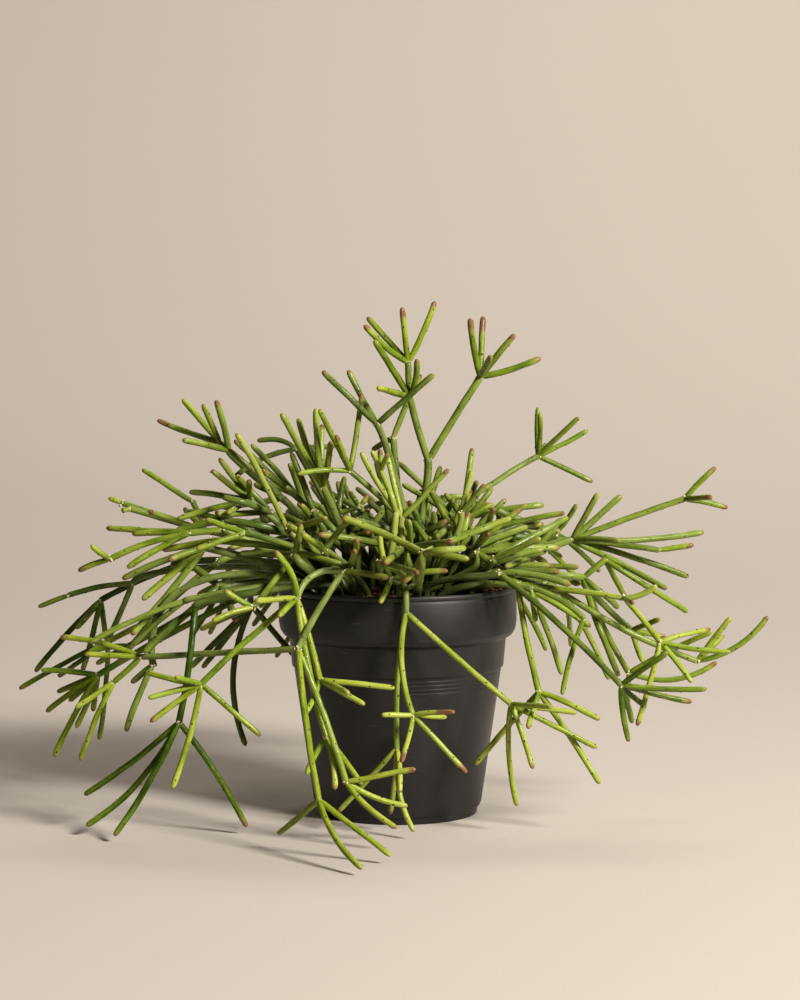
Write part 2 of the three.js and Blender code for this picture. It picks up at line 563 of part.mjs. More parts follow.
function easePair(one, two) {
  const need = one.radius + two.radius + STEM_CLEARANCE;
  const [steps, others] = [one.course.length - 1, two.course.length - 1];
  for (let i = 0; i < steps; i += 1) {
    for (let j = 0; j < others; j += 1) {
      const [a, b] = [one.course[i], one.course[i + 1]];
      const [c, d] = [two.course[j], two.course[j + 1]];
      const { along, other, gap } = closestPoints(a, b, c, d);
      const distance = gap.lengthSq();
      if (distance >= need * need) continue;
      const beside = Math.max(0, distance - gap.y * gap.y);
      const missing = Math.sqrt(need * need - beside) - Math.abs(gap.y);
      const push = (missing / 2) * (gap.y < 0 ? -1 : 1);
      pushDepth(one, (i + along) / steps, -push);
      pushDepth(two, (j + other) / others, push);
    }
  }
}

function coursePoint(shoot, share) {
  const bands = shoot.course.length - 1;
  const band = Math.min(bands - 1, Math.floor(share * bands));
  return shoot.course[band].clone().lerp(shoot.course[band + 1], share * bands - band);
}

function easeOffPot(shoot) {
  const over = POT_HEIGHT + shoot.radius + STEM_CLEARANCE;
  const mouth = insideRadius(POT_HEIGHT) - shoot.radius - STEM_CLEARANCE;
  const bed = SOIL_CROWN + SOIL_CRUMB + shoot.radius;
  for (let step = 1; step <= POT_CHECKS; step += 1) {
    const share = step / POT_CHECKS;
    const point = coursePoint(shoot, share);
    const away = Math.hypot(point.x, point.y);
    const need = outsideRadius(point.z) + shoot.radius + STEM_CLEARANCE;
    if (point.z > over || away > need) continue;
    if (shoot.from.fixed || (away < RIM_RADIUS && point.z > SOIL_EDGE - 5)) {
      const missing = (away > mouth ? over : bed) - point.z;
      if (missing > 0 && share < 1) nudge(shoot, "lift", missing / (4 * share * (1 - share)));
      continue;
    }
    const depth = Math.sign(point.y) * Math.sqrt(Math.max(0, need * need - point.x * point.x));
    pushDepth(shoot, share, depth - point.y);
  }
}

function easeApart(stems) {
  const shoots = stems.flatMap((stem) => stem.shoots);
  const joints = stems.flatMap((stem) => stem.joints);
  for (let round = 0; round < EASE_ROUNDS; round += 1) {
    shoots.forEach(measureShoot);
    shoots.forEach((one, index) => {
      for (const two of shoots.slice(index + 1)) {
        if (one.stem !== two.stem && one.box.intersectsBox(two.box)) easePair(one, two);
      }
      easeOffPot(one);
    });
    [...joints, ...shoots].forEach(yieldTo);
  }
}

// ---- Stems: solids ------------------------------------------------------------------------------
// The shoots of a stem as runs of one tube each. A run goes on through a joint into the shoot that
// turns the least, and the joint's other shoots start runs of their own inside it.
function stemRuns(stem) {
  const runs = [];
  const follow = (shoot, run) => {
    run.push(shoot);
    const ahead = shoot.curve.getTangent(1);
    const next = stem.shoots.filter((other) => other.from === shoot.to);
    const turns = next.map((other) => ahead.angleTo(other.curve.getTangent(0)));
    const straightest = turns.indexOf(Math.min(...turns, RUN_TURN));
    next.forEach((other, index) => follow(other, index === straightest ? run : startRun()));
  };
  const startRun = () => runs[runs.push([]) - 1];
  stem.shoots.filter((shoot) => shoot.from.fixed).forEach((shoot) => follow(shoot, startRun()));
  return runs;
}

// A few-sided turned profile, bent along the points: one ring of corners at each of them.
function bentTube(points, radii) {
  const rings = points.length;
  const profile = radii.map((radius, ring) => new THREE.Vector2(radius, ring));
  const closed = [new THREE.Vector2(0, 0), ...profile, new THREE.Vector2(0, rings)];
  const steps = points.slice(1).map((point, index) => point.clone().sub(points[index]).normalize());
  const ways = points.map((_, ring) => {
    const [before, after] = [steps[Math.max(0, ring - 1)], steps[Math.min(ring, rings - 2)]];
    return before.clone().add(after).normalize();
  });
  const side = Math.abs(ways[0].x) < 0.9 ? new THREE.Vector3(1, 0, 0) : UP.clone();
  const frames = ways.map((way) => {
    side.addScaledVector(way, -side.dot(way)).normalize();
    return [side.clone(), side.clone().cross(way)];
  });
  const tip = points[rings - 1].clone().addScaledVector(ways[rings - 1], radii[rings - 1] * TIP_BLUNT);

  const geometry = new THREE.LatheGeometry(closed, STEM_SIDES);
  const place = geometry.attributes.position;
  for (let at = 0; at < place.count; at += 1) {
    const ring = Math.round(place.getY(at));
    const [across, aside] = frames[Math.min(ring, rings - 1)];
    const point = (points[ring] ?? tip)
      .clone()
      .addScaledVector(across, place.getX(at))
      .addScaledVector(aside, place.getZ(at));
    place.setXYZ(at, point.x, point.y, point.z);
  }
  return solidOf(geometry);
}

// The first run of a stem starts down in the soil. A run is pinched where it starts at a joint, and
// its blunt end closes on the last joint or just past it.
function runSolid(run) {
  const first = run[0];
  const last = run[run.length - 1];
  const points = [...first.course];
  const radii = points.map(() => first.radius);
  for (const shoot of run.slice(1)) {
    points.push(...shoot.course.slice(1));
    while (radii.length < points.length) radii.push(shoot.radius);
  }
  if (first.from.fixed) {
    points.unshift(points[0].clone().addScaledVector(UP, -ROOT_DEPTH));
    radii.unshift(first.radius);
  } else {
    radii[0] *= BASE_PINCH;
  }
  radii[radii.length - 1] *= TIP_PINCH;
  if (!last.to.forks) {
    const back = last.curve.getTangent(1).multiplyScalar(last.radius * TIP_BLUNT);
    points[points.length - 1].sub(back);
  }
  return bentTube(points, radii);
}

function makeStem(stem) {
  const [first, ...others] = stemRuns(stem).map(runSolid);
  const solid = others.reduce((whole, run) => whole.add(run), first);
  const color = new THREE.Color(STEM_DARK).lerp(new THREE.Color(STEM_BRIGHT), stem.tone);
  return meshOf(stem.name, solid, { color, roughness: 0.45, metalness: 0 });
}

// ---- Assembly -----------------------------------------------------------------------------------
const stems = [
  ...DRAWN_STEMS.map(drawnStem),
  ...Array.from({ length: BACK_COUNT }, (_, index) => backStem(index)),
];
easeApart(stems);
stems.flatMap((stem) => stem.shoots).forEach(measureShoot);

const plant = new THREE.Group();
plant.add(makePot(), makeSoil(stems), ...stems.map(makeStem));

export default plant;
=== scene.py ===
"""A mistletoe cactus in its nursery pot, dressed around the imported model.

Leafless pencil stems fork in whorls, rise from the middle and hang over the rim of a black plastic
pot filled with peat. They are shaped in millimetres and become metres piece by piece, and the
stage is in metres. +Z up, front towards -Y.
"""
import math

import bmesh
import bpy
import numpy as np
from mathutils import Matrix, Vector, noise


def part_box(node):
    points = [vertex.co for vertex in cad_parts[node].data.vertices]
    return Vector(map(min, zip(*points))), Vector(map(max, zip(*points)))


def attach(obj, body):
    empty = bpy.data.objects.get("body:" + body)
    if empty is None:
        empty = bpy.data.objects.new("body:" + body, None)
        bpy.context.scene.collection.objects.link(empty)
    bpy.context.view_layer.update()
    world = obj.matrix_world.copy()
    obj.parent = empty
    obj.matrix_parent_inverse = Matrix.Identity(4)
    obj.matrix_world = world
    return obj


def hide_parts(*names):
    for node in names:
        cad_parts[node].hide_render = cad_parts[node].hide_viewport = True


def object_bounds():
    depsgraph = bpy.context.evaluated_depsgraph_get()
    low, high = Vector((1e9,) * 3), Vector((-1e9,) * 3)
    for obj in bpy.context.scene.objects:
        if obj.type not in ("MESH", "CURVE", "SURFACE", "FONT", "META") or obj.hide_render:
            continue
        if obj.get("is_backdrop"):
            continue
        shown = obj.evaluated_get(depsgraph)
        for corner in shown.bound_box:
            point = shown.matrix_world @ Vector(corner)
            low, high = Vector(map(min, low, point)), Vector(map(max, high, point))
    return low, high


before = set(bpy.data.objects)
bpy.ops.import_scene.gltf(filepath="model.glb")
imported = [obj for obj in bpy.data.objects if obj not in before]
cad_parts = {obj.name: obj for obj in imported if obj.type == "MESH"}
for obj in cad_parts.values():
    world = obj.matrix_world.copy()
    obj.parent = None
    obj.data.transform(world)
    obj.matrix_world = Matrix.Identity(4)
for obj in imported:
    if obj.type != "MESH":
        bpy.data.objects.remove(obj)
cad_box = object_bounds()

# ---- Sizes, in millimetres ----------------------------------------------------------------------
MM = 0.001
POT_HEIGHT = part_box("pot")[1].z / MM
RIM_RADIUS = 59.6
RIM_BOTTOM = 89.0
BODY_TOP_RADIUS = 54.3
BEAD_HEIGHT = 75.0
BEAD_RADIUS = 53.0
FOOT_RADIUS = 41.5
FOOT_TOP = 4.0
FOOT_RECESS = 1.2
PAD_RADIUS = 16.0
POT_WALL = 1.7
POT_FLOOR = 2.2
MOUTH_RADIUS = RIM_RADIUS - POT_WALL
FLOOR_TOP = POT_FLOOR + FOOT_RECESS
DRAIN_COUNT = 6
DRAIN_RADIUS = 4.0
DRAIN_CIRCLE = 28.0
DRAIN_SIDES = 24
SOIL_EDGE = 108.6
SOIL_CROWN = 111.8
SOIL_CRUMB = 0.7

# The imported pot's outside from the foot up, which the stems are eased clear of.
OUTSIDE_LEVELS = (
    0, 3.2, FOOT_TOP, 16, 42, 64, BEAD_HEIGHT - 2, BEAD_HEIGHT - 1, BEAD_HEIGHT + 1,
    RIM_BOTTOM - 0.5, RIM_BOTTOM + 1, RIM_BOTTOM + 4, RIM_BOTTOM + 8, 114.4, 115,
)
OUTSIDE_RADII = (
    FOOT_RADIUS - 1.6, FOOT_RADIUS - 1.4, FOOT_RADIUS, 43.85, 47.6, 50.9, 51.9, BEAD_RADIUS,
    BEAD_RADIUS + 0.2, BODY_TOP_RADIUS, RIM_RADIUS - 2.6, RIM_RADIUS - 0.6, RIM_RADIUS,
    RIM_RADIUS, RIM_RADIUS - 0.6,
)

# ---- How the plant grows ------------------------------------------------------------------------
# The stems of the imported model, from the same drawing sheet and by the same rules, in millimetres.
# The sheet faces a viewing point in front of the plant, and leans back a little for that. A joint
# is a column and a row on it, and a depth behind (+) or in front of (-) the pot's axis.
VIEW_POINT = np.array((1.15, -1500.0, 280.0))
SHEET_CENTRE = np.array((1.15, 0.0, 157.0))
SHEET_COLUMN = 400
SHEET_ROW = 500
SHEET_GRID = 0.5

# Each stem: name, root on the soil, radius, tone from dark to bright, and its shoots as (from
# joint, column, row, step in depth, bow). The bow is how many grid squares the middle of the shoot
# stands off its straight line, towards the upper right.
DRAWN_STEMS = [
    ("tall_fork", (7, 6), 2.3, 0.55, [
        (0, 428, 461, -4, 1), (1, 410, 398, -6, -1), (2, 408, 363, 3, 0), (3, 367, 317, 8, 0),
        (3, 364, 325, -12, -2), (3, 402, 307, -4, 0), (3, 435, 301, 6, 2), (2, 374, 340, -10, 0),
        (2, 377, 388, -22, 1), (2, 417, 359, -12, 2), (1, 480, 377, 4, 0), (11, 470, 318, -6, -1),
        (11, 483, 316, 8, 0), (11, 491, 356, -24, 0), (11, 515, 334, -8, 0), (11, 541, 358, 6, -2),
    ]),
    ("crown_left", (11, -2), 2.0, 0.3, [
        (0, 377, 424, -10, 4), (1, 322, 371, -4, 0), (1, 348, 370, 6, -1), (1, 434, 374, -14, 0),
    ]),
    ("behind_fork", (3, 13), 1.95, 0.5, [
        (0, 393, 438, 8, 1), (1, 421, 374, 4, -1), (1, 372, 450, 10, 0),
    ]),
    ("crown_elbow", (1, -12), 1.95, 0.5, [
        (0, 397, 514, -2, 2), (1, 350, 471, -6, 1), (2, 297, 474, -10, 2), (2, 319, 409, -4, 0),
        (2, 336, 435, -16, 0), (2, 362, 393, 10, 1),
    ]),
    ("crown_fan", (-19, -5), 2.05, 0.65, [
        (0, 323, 487, -8, 3), (1, 281, 413, -8, 0), (1, 298, 418, 6, -2), (1, 316, 408, -4, -2),
        (1, 322, 424, 10, -1), (1, 331, 441, -16, 1),
    ]),
    ("crown_bright", (8, -20), 1.75, 0.95, [
        (0, 402, 518, -8, -2), (1, 361, 452, -10, -2), (1, 387, 455, 8, 0), (1, 449, 469, -8, 0),
    ]),
    ("crown_right", (17, -24), 1.8, 0.7, [
        (0, 461, 512, -8, 2), (1, 472, 470, 4, 0), (1, 485, 484, -8, 1),
    ]),
    ("crown_lone", (16, -9), 1.7, 0.35, [(0, 433, 511, -4, 2)]),
    ("long_reach", (14, 22), 1.95, 0.3, [
        (0, 470, 498, 16, 8), (1, 538, 456, 24, 1), (2, 538, 407, 6, -1), (2, 540, 413, -10, 1),
        (2, 579, 417, -8, 0), (2, 588, 430, 6, -1), (2, 593, 482, 2, 0), (2, 546, 444, 16, 0),
        (1, 477, 481, -12, 0), (1, 556, 533, 10, -1), (10, 577, 504, -8, 1), (10, 600, 572, 16, 2),
    ]),
    ("back_sweep", (28, 6), 1.9, 0.35, [
        (0, 473, 532, 8, 4), (1, 445, 493, -10, 0), (1, 398, 462, 16, 0), (1, 402, 484, 6, 2),
        (1, 506, 499, 6, 0), (1, 565, 513, -4, 1), (1, 544, 524, 12, 1),
    ]),
    ("grey_arch", (-18, 22), 1.8, 0.3, [
        (0, 297, 449, 22, 3), (1, 257, 441, 6, 5), (1, 233, 479, -6, 6), (1, 336, 446, 8, 0),
    ]),
    ("high_left", (-13, 13), 2.2, 0.6, [
        (0, 229, 451, 44, 2), (1, 220, 443, 2, 0), (2, 157, 420, 8, -1), (2, 182, 399, 8, 0),
        (2, 203, 404, -16, 0), (1, 216, 400, -14, 1), (1, 182, 440, -12, 1),
    ]),
    ("bright_lean", (-25, -12), 1.9, 0.85, [
        (0, 287, 529, -4, 4), (1, 236, 433, -8, 2), (1, 327, 518, -24, 0),
    ]),
    ("left_twins", (-27, 9), 1.9, 0.45, [
        (0, 303, 503, 10, 2), (1, 234, 440, 6, 0), (1, 251, 444, -8, 1), (1, 289, 463, -14, 1),
    ]),
    ("left_comb", (-33, 0), 1.95, 0.45, [
        (0, 250, 500, -2, 5), (1, 211, 470, -8, 0), (1, 219, 458, 8, 0), (1, 189, 492, 6, 1),
        (1, 249, 480, -16, 0), (1, 227, 513, -20, 0), (1, 177, 519, -8, 1),
    ]),
    ("left_spears", (-35, 16), 2.0, 0.6, [
        (0, 205, 531, 26, 8), (1, 122, 503, 8, 0), (2, 108, 498, 0, 0), (1, 131, 509, -8, 0),
        (4, 121, 511, -2, 0), (1, 148, 511, -16, 0), (1, 193, 502, 4, 0), (7, 142, 469, 6, 0),
        (1, 184, 508, -14, 0),
    ]),
    ("left_table", (-40, -6), 2.2, 0.5, [
        (0, 224, 530, -12, 6), (1, 190, 533, -2, 0), (2, 110, 559, -4, 3), (3, 78, 571, 4, 1),
        (3, 91, 545, -8, -1), (2, 127, 568, -14, 2), (2, 132, 534, 8, 1), (2, 106, 528, 18, 0),
    ]),
    ("left_droop", (-45, -11), 2.2, 0.45, [
        (0, 205, 547, -16, 6), (1, 142, 600, -10, 1), (1, 131, 635, -20, 2),
        (1, 168, 560, -12, 0), (1, 122, 579, 8, 2),
    ]),
    ("dark_boom", (-42, 22), 1.9, 0.15, [
        (0, 133, 583, 34, 14), (1, 69, 595, 6, 2), (2, 38, 607, 2, 0), (1, 108, 641, -6, 0),
        (4, 19, 689, -8, 1), (4, 58, 677, 8, 0), (4, 99, 740, -4, 2),
    ]),
    ("dark_claw", (-33, 30), 2.15, 0.12, [
        (0, 190, 562, 32, 8), (1, 101, 600, 20, 3), (2, 35, 672, 4, -2), (2, 76, 629, -10, 0),
        (2, 82, 672, -6, 1), (2, 106, 640, 8, 0),
    ]),
    ("low_fan", (-46, 3), 2.1, 0.35, [
        (0, 256, 590, 2, 10), (1, 98, 675, 4, 2), (2, 41, 670, -4, 1), (2, 57, 692, 10, 0),
        (2, 46, 712, -6, 1), (2, 69, 701, 14, 0), (2, 76, 728, 4, 1), (2, 93, 711, 16, 0),
        (2, 54, 757, -14, -2),
    ]),
    ("low_thin", (-33, -27), 1.8, 0.4, [
        (0, 185, 601, -22, 8), (1, 90, 643, -10, 3), (1, 128, 650, 8, 2),
    ]),
    ("brown_knee", (-46, -19), 2.4, 0.2, [
        (0, 220, 586, -14, 4), (1, 193, 567, 10, 0), (1, 143, 653, -16, 1), (1, 236, 622, -18, 1),
    ]),
    ("hanging_claw", (-29, -35), 2.1, 0.1, [
        (0, 195, 606, -14, 4), (1, 179, 722, -14, 2), (2, 84, 795, 8, -3), (2, 86, 826, -6, 10),
        (2, 114, 836, -21, 4), (2, 247, 827, -1, 3),
    ]),
    ("grey_trunk", (-43, -27), 2.0, 0.3, [
        (0, 153, 665, -20, 18), (1, 131, 683, 8, 0), (1, 126, 732, -8, -2),
    ]),
    ("yellow_hook", (-31, -16), 2.0, 0.55, [
        (0, 302, 541, -15, 6), (1, 253, 607, -28, 2), (2, 212, 621, -10, 1), (2, 200, 630, 4, 1),
        (2, 224, 590, -4, -1),
    ]),
    ("front_fountain", (-22, -42), 2.15, 0.62, [
        (0, 343, 572, -10, 4), (1, 297, 598, -16, 12), (2, 326, 737, -16, -3),
        (3, 306, 775, -4, -1), (3, 335, 790, -10, 3), (3, 362, 785, 4, 1), (2, 320, 680, -8, 1),
        (7, 395, 688, -2, 0), (7, 349, 694, -22, 1), (7, 365, 705, -12, 0), (7, 306, 713, -14, 1),
        (2, 278, 617, -14, 0), (2, 254, 601, -12, 0), (2, 201, 684, -14, 2),
        (14, 145, 672, 6, -1), (14, 175, 677, -16, 0), (14, 148, 698, -10, 0),
        (14, 150, 722, -4, 0), (14, 172, 789, -14, 3), (14, 261, 736, 2, 0), (2, 275, 551, -8, 5),
        (1, 298, 649, -30, -2), (22, 319, 800, -40, -2), (23, 278, 834, 20, 0),
        (23, 362, 869, -40, -6), (23, 391, 856, -14, 0), (22, 346, 782, -12, 2),
        (27, 416, 769, -6, 0), (27, 408, 806, 4, -4), (27, 397, 828, -14, -4),
        (22, 141, 657, 40, 0), (31, 60, 637, 4, 4), (31, 84, 654, -8, 0), (31, 114, 682, -2, 0),
        (34, 75, 708, -4, 0), (34, 80, 761, -8, -2), (1, 389, 578, -10, 1),
    ]),
    ("front_drop", (9, -44), 2.0, 0.75, [
        (0, 402, 585, -8, 2), (1, 391, 579, -2, 0), (2, 380, 530, -2, -3), (2, 448, 571, -8, 2),
        (2, 380, 603, -18, 0), (1, 406, 612, -10, 1), (6, 413, 715, -12, -8),
        (7, 381, 715, -6, 0), (7, 401, 763, -8, 1), (7, 455, 712, -10, 1), (7, 447, 717, 8, 0),
        (7, 467, 773, -2, 0), (6, 397, 748, -2, -4), (13, 338, 812, 6, 0),
        (13, 414, 832, -14, -6), (13, 390, 815, 6, 1), (13, 400, 793, -12, 1),
        (6, 511, 704, -8, -1), (18, 552, 707, -26, 0), (18, 577, 713, -4, 0),
        (18, 597, 748, 4, 0), (18, 533, 769, -8, 1), (18, 517, 806, 8, -5),
    ]),
    ("right_knuckle", (24, -28), 2.15, 0.6, [
        (0, 477, 552, -6, 4), (1, 518, 584, -8, 1), (2, 539, 692, -24, -2), (3, 600, 720, -6, 2),
        (3, 600, 784, -2, 1), (3, 528, 728, -30, 0), (3, 475, 765, 8, -1), (2, 624, 598, -6, 1),
        (8, 657, 585, -6, -3), (8, 660, 642, -8, 1), (10, 711, 629, 6, 1), (10, 731, 652, -6, -2),
        (10, 692, 683, -10, 1), (10, 637, 726, -8, 1), (8, 633, 603, -22, 0),
        (2, 591, 627, -4, 2), (1, 560, 548, 10, 2),
    ]),
    ("right_star", (36, -4), 2.0, 0.6, [
        (0, 572, 540, 0, 8), (1, 598, 493, -6, 0), (1, 622, 495, 8, 0), (1, 684, 499, 10, 1),
        (4, 716, 467, 4, 1), (4, 712, 497, -16, 0), (4, 728, 508, 4, 1), (1, 621, 541, -18, 1),
        (1, 704, 532, 18, -4), (1, 658, 550, -2, 1), (10, 694, 545, 2, 0), (1, 689, 577, 10, 2),
        (1, 667, 589, -12, 1), (1, 505, 567, -42, 1),
    ]),
    ("right_branch", (41, -17), 2.0, 0.5, [
        (0, 583, 578, -2, 8), (1, 618, 608, 4, 1), (1, 605, 560, 6, 0), (3, 688, 612, 6, 0),
        (3, 625, 597, 14, 0), (1, 629, 673, 26, -3), (6, 717, 662, 6, -12), (6, 712, 632, -10, 2),
        (6, 627, 710, -8, 0), (1, 619, 676, -12, -2), (1, 632, 630, 12, -3),
        (11, 660, 619, -12, 0), (11, 666, 637, 6, 0), (11, 643, 662, -10, -1),
    ]),
    ("right_arc", (41, -25), 1.95, 0.65, [
        (0, 545, 581, -12, 5), (1, 697, 661, 4, -6), (2, 731, 617, -4, 0), (2, 724, 635, 10, 0),
        (2, 768, 616, -6, -9),
    ]),
    ("right_cross", (14, -35), 1.95, 0.4, [
        (0, 499, 573, -14, 5), (1, 621, 685, -26, 3), (2, 668, 652, -10, 0),
        (2, 707, 689, -4, -2), (2, 692, 702, 10, -1), (2, 646, 708, 16, 0), (2, 629, 742, -4, -2),
        (2, 632, 723, 12, 1),
    ]),
    ("right_drop", (36, -37), 1.8, 0.5, [
        (0, 531, 588, -14, 6), (1, 562, 675, 4, 1), (1, 536, 622, -4, 0), (1, 584, 618, -6, 4),
        (4, 562, 695, -8, -2),
    ]),
    ("right_cluster", (33, -19), 1.95, 0.6, [
        (0, 520, 566, 4, 4), (1, 579, 567, -10, 0), (1, 580, 585, -4, 2), (1, 562, 518, -2, 0),
    ]),
    ("left_under", (-44, 12), 2.0, 0.15, [
        (0, 252, 606, 8, 14), (1, 300, 662, 10, 0), (1, 246, 746, 8, -16), (1, 190, 668, -8, 0),
        (1, 202, 668, 10, 0),
    ]),
]

# Further stems of the visual model, which fill the plant's middle: rooted in the soil between the
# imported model's own, and eased clear of them.
MORE_STEMS = [
    ("rim_right_low", (9, -27), 2.1, 0.4, [
        (0, 477, 568, -2, -2), (1, 553, 566, 0, 2), (1, 546, 551, 6, 1),
    ]),
    ("rim_right_mid", (20, -38), 2.2, 0.3, [
        (0, 489, 572, -2, -2), (1, 571, 585, -6, 4), (1, 560, 572, 6, 1),
    ]),
    ("rim_right_end", (30, -34), 2.0, 0.4, [(0, 508, 578, -2, -2), (1, 560, 594, -4, 2)]),
    ("right_bright_line", (17, -17), 1.9, 0.8, [(0, 441, 552, -4, 0), (1, 515, 583, -18, 1)]),
    ("right_arc_mid", (25, -12), 2.1, 0.45, [
        (0, 479, 553, 0, 3), (1, 541, 550, 4, 6), (1, 527, 547, -6, 0), (1, 512, 536, 6, 1),
    ]),
    ("right_dark_mid", (34, 3), 2.2, 0.15, [
        (0, 489, 537, 6, 3), (1, 568, 541, 6, 2), (1, 504, 544, -8, 3), (1, 540, 520, 8, 0),
    ]),
    ("right_back_mid", (22, 13), 2.1, 0.3, [
        (0, 475, 533, 6, 3), (1, 518, 526, 6, 1), (1, 487, 514, 4, 0), (2, 560, 531, 2, 1),
    ]),
    ("back_arch", (13, 15), 1.9, 0.4, [(0, 440, 504, 8, 2), (1, 467, 497, 6, 3), (1, 424, 478, 8, 0)]),
    ("middle_twigs", (-13, -2), 2.0, 0.35, [
        (0, 368, 523, -2, 2), (1, 360, 507, 0, 0), (2, 339, 513, -4, 0), (2, 349, 491, 2, 0),
        (2, 369, 494, 4, 0),
    ]),
    ("middle_grey", (8, -13), 2.2, 0.2, [(0, 419, 538, -4, 2), (1, 353, 520, -2, 1)]),
    ("middle_long", (0, -24), 2.2, 0.55, [(0, 401, 550, -4, -1), (1, 318, 535, -8, 3)]),
    ("middle_pale", (-25, -25), 2.1, 0.4, [
        (0, 330, 562, -4, 2), (1, 246, 533, -12, 2), (2, 196, 549, -6, 0), (2, 205, 519, 4, 0),
    ]),
    ("plank_high", (-26, 1), 2.4, 0.3, [
        (0, 300, 538, -4, 3), (1, 226, 521, -6, 3), (2, 176, 530, -6, 1), (2, 188, 511, 4, 0),
    ]),
    ("plank_low", (-37, -12), 2.4, 0.45, [
        (0, 290, 549, -2, 3), (1, 212, 541, -8, 2), (2, 171, 566, -6, 1), (2, 162, 550, 4, 0),
    ]),
    ("dark_pair", (-35, 9), 2.0, 0.1, [(0, 272, 577, 2, 4), (1, 206, 549, 2, -1), (2, 172, 541, 2, 0)]),
    ("wide_dark", (-41, -16), 2.2, 0.2, [
        (0, 262, 579, -2, 4), (1, 200, 607, -6, 3), (2, 129, 646, -6, 0), (3, 88, 652, -4, 2),
        (3, 96, 664, 6, 0),
    ]),
    ("middle_line", (-47, -4), 2.1, 0.35, [
        (0, 219, 562, -4, 5), (1, 155, 618, -8, 3), (2, 92, 649, -4, 0), (2, 118, 662, 6, 0),
    ]),
    ("yellow_dry", (-6, -27), 1.9, 1.0, [
        (0, 396, 513, -4, 0), (1, 381, 471, 2, 1), (2, 372, 451, -2, 0), (2, 380, 449, 3, 0),
        (2, 388, 454, -4, 0),
    ]),
    ("upper_dark", (-8, 8), 2.0, 0.25, [
        (0, 337, 513, 2, 2), (1, 345, 476, 4, 0), (1, 322, 470, 6, 0), (3, 308, 444, 4, 0),
    ]),
    ("left_back_comb", (-28, 16), 2.0, 0.3, [
        (0, 283, 498, 8, 3), (1, 228, 449, 6, 1), (1, 254, 484, -4, 0), (1, 222, 508, -6, 0),
    ]),
    ("middle_dark", (-19, -15), 2.0, 0.25, [(0, 362, 545, 2, -3), (1, 397, 531, 4, 0), (1, 372, 521, 6, 0)]),
    ("left_fill_up", (-28, -6), 2.0, 0.4, [
        (0, 314, 512, 0, 3), (1, 262, 470, -4, 1), (1, 291, 452, 2, 0), (1, 286, 487, -8, 0),
    ]),
    ("left_fill_side", (-34, -6), 2.1, 0.35, [
        (0, 270, 512, 0, 3), (1, 222, 497, -4, 1), (1, 236, 475, 4, 0), (1, 217, 514, -6, 0),
    ]),
    ("right_fill_up", (19, -2), 1.9, 0.45, [
        (0, 452, 528, 0, 2), (1, 493, 503, 4, 0), (1, 471, 489, -2, 0), (1, 430, 490, 4, 0),
    ]),
]

# A stem starts at its root's top and at first rises steeply, and its shoots are thinner with age.
ROOT_TOP = 115.0
ROOT_DEPTH = 11.0
ROOT_RISE = 9.0
AGE_TAPER = (1, 0.88, 0.8, 0.74, 0.7, 0.68)

# A shoot that bends is measured as four straight bands, or two, or as one if it hardly bends.
FULL_BANDS = 4
EASY_BEND = 4.5
STRAIGHT_BEND = 0.9
STEM_CLEARANCE = 0.62

# The stems of the far side.
BACK_COUNT = 10
BACK_SEED = 29
BACK_FROM = math.radians(38)
BACK_TO = math.radians(142)
BACK_RINGS = (44, 33)
BACK_LOWEST = 14

# The leaning stems and the upright ones that crowd the middle. Their roots lie in a spiral.
GOLDEN_TURN = math.radians(137.5)
INNER_COUNT = 26
INNER_SEED = 611
INNER_NEAREST = 11
INNER_SPREAD = 36
INNER_BACK_RISE = 12
CORE_COUNT = 20
CORE_SEED = 12
CORE_NEAREST = 4
CORE_SPREAD = 34
CORE_FRONT_BARE = 0.7

# How stems are eased apart: rounds, and how much of a push counts and how far it goes in a round.
# In the pot's mouth, a shoot down to MOUTH_DEPTH below the soil's edge is lifted, not moved aside.
EASE_ROUNDS = 320
EASE_SHARE = 0.6
EASE_LIMIT = 2.0
POT_CHECKS = 40
MOUTH_DEPTH = 5.0
LEAST_PULL = 1e-6
TINY = 1e-9

# The further stems keep near their places, and a shoot that still overlaps too much is left out.
MORE_ROUNDS = 120
MORE_STRAY = 28.0
MORE_SAG = 8.0
MORE_LIFT = 16.0
MORE_OVERLAP = 0.36
MORE_LEAN = 0.22
MORE_RISE = 3.0
MORE_TOP = 112.0

# The steps of the seeded draws.
DRAW_FACTOR = 1664525
DRAW_STEP = 1013904223
DRAW_SPAN = 2**32

SHEET_LEAN = math.atan2(VIEW_POINT[2] - SHEET_CENTRE[2], SHEET_CENTRE[1] - VIEW_POINT[1])
SHEET_RIGHT = np.array((1.0, 0.0, 0.0))
SHEET_UP = np.array((0.0, math.sin(SHEET_LEAN), math.cos(SHEET_LEAN)))
SHEET_AHEAD = np.array((0.0, math.cos(SHEET_LEAN), -math.sin(SHEET_LEAN)))
UP = np.array((0.0, 0.0, 1.0))


def seeded_draws(seed):
    """Even draws from a low to a high value, in millimetres or radians, alike each time."""
    state = seed

    def draw(low, high):
        nonlocal state
        state = (state * DRAW_FACTOR + DRAW_STEP) % DRAW_SPAN
        return low + (high - low) * state / DRAW_SPAN

    return draw


def sheet_points(spots, depths):
    """The places on the lines of view through the sheet's spots, at those depths."""
    across = (spots[:, :1] - SHEET_COLUMN) * SHEET_GRID
    above = (SHEET_ROW - spots[:, 1:]) * SHEET_GRID
    on_sheet = SHEET_CENTRE + across * SHEET_RIGHT + above * SHEET_UP
    share = (depths - VIEW_POINT[1]) / (on_sheet[:, 1] - VIEW_POINT[1])
    return VIEW_POINT + share[:, None] * (on_sheet - VIEW_POINT)


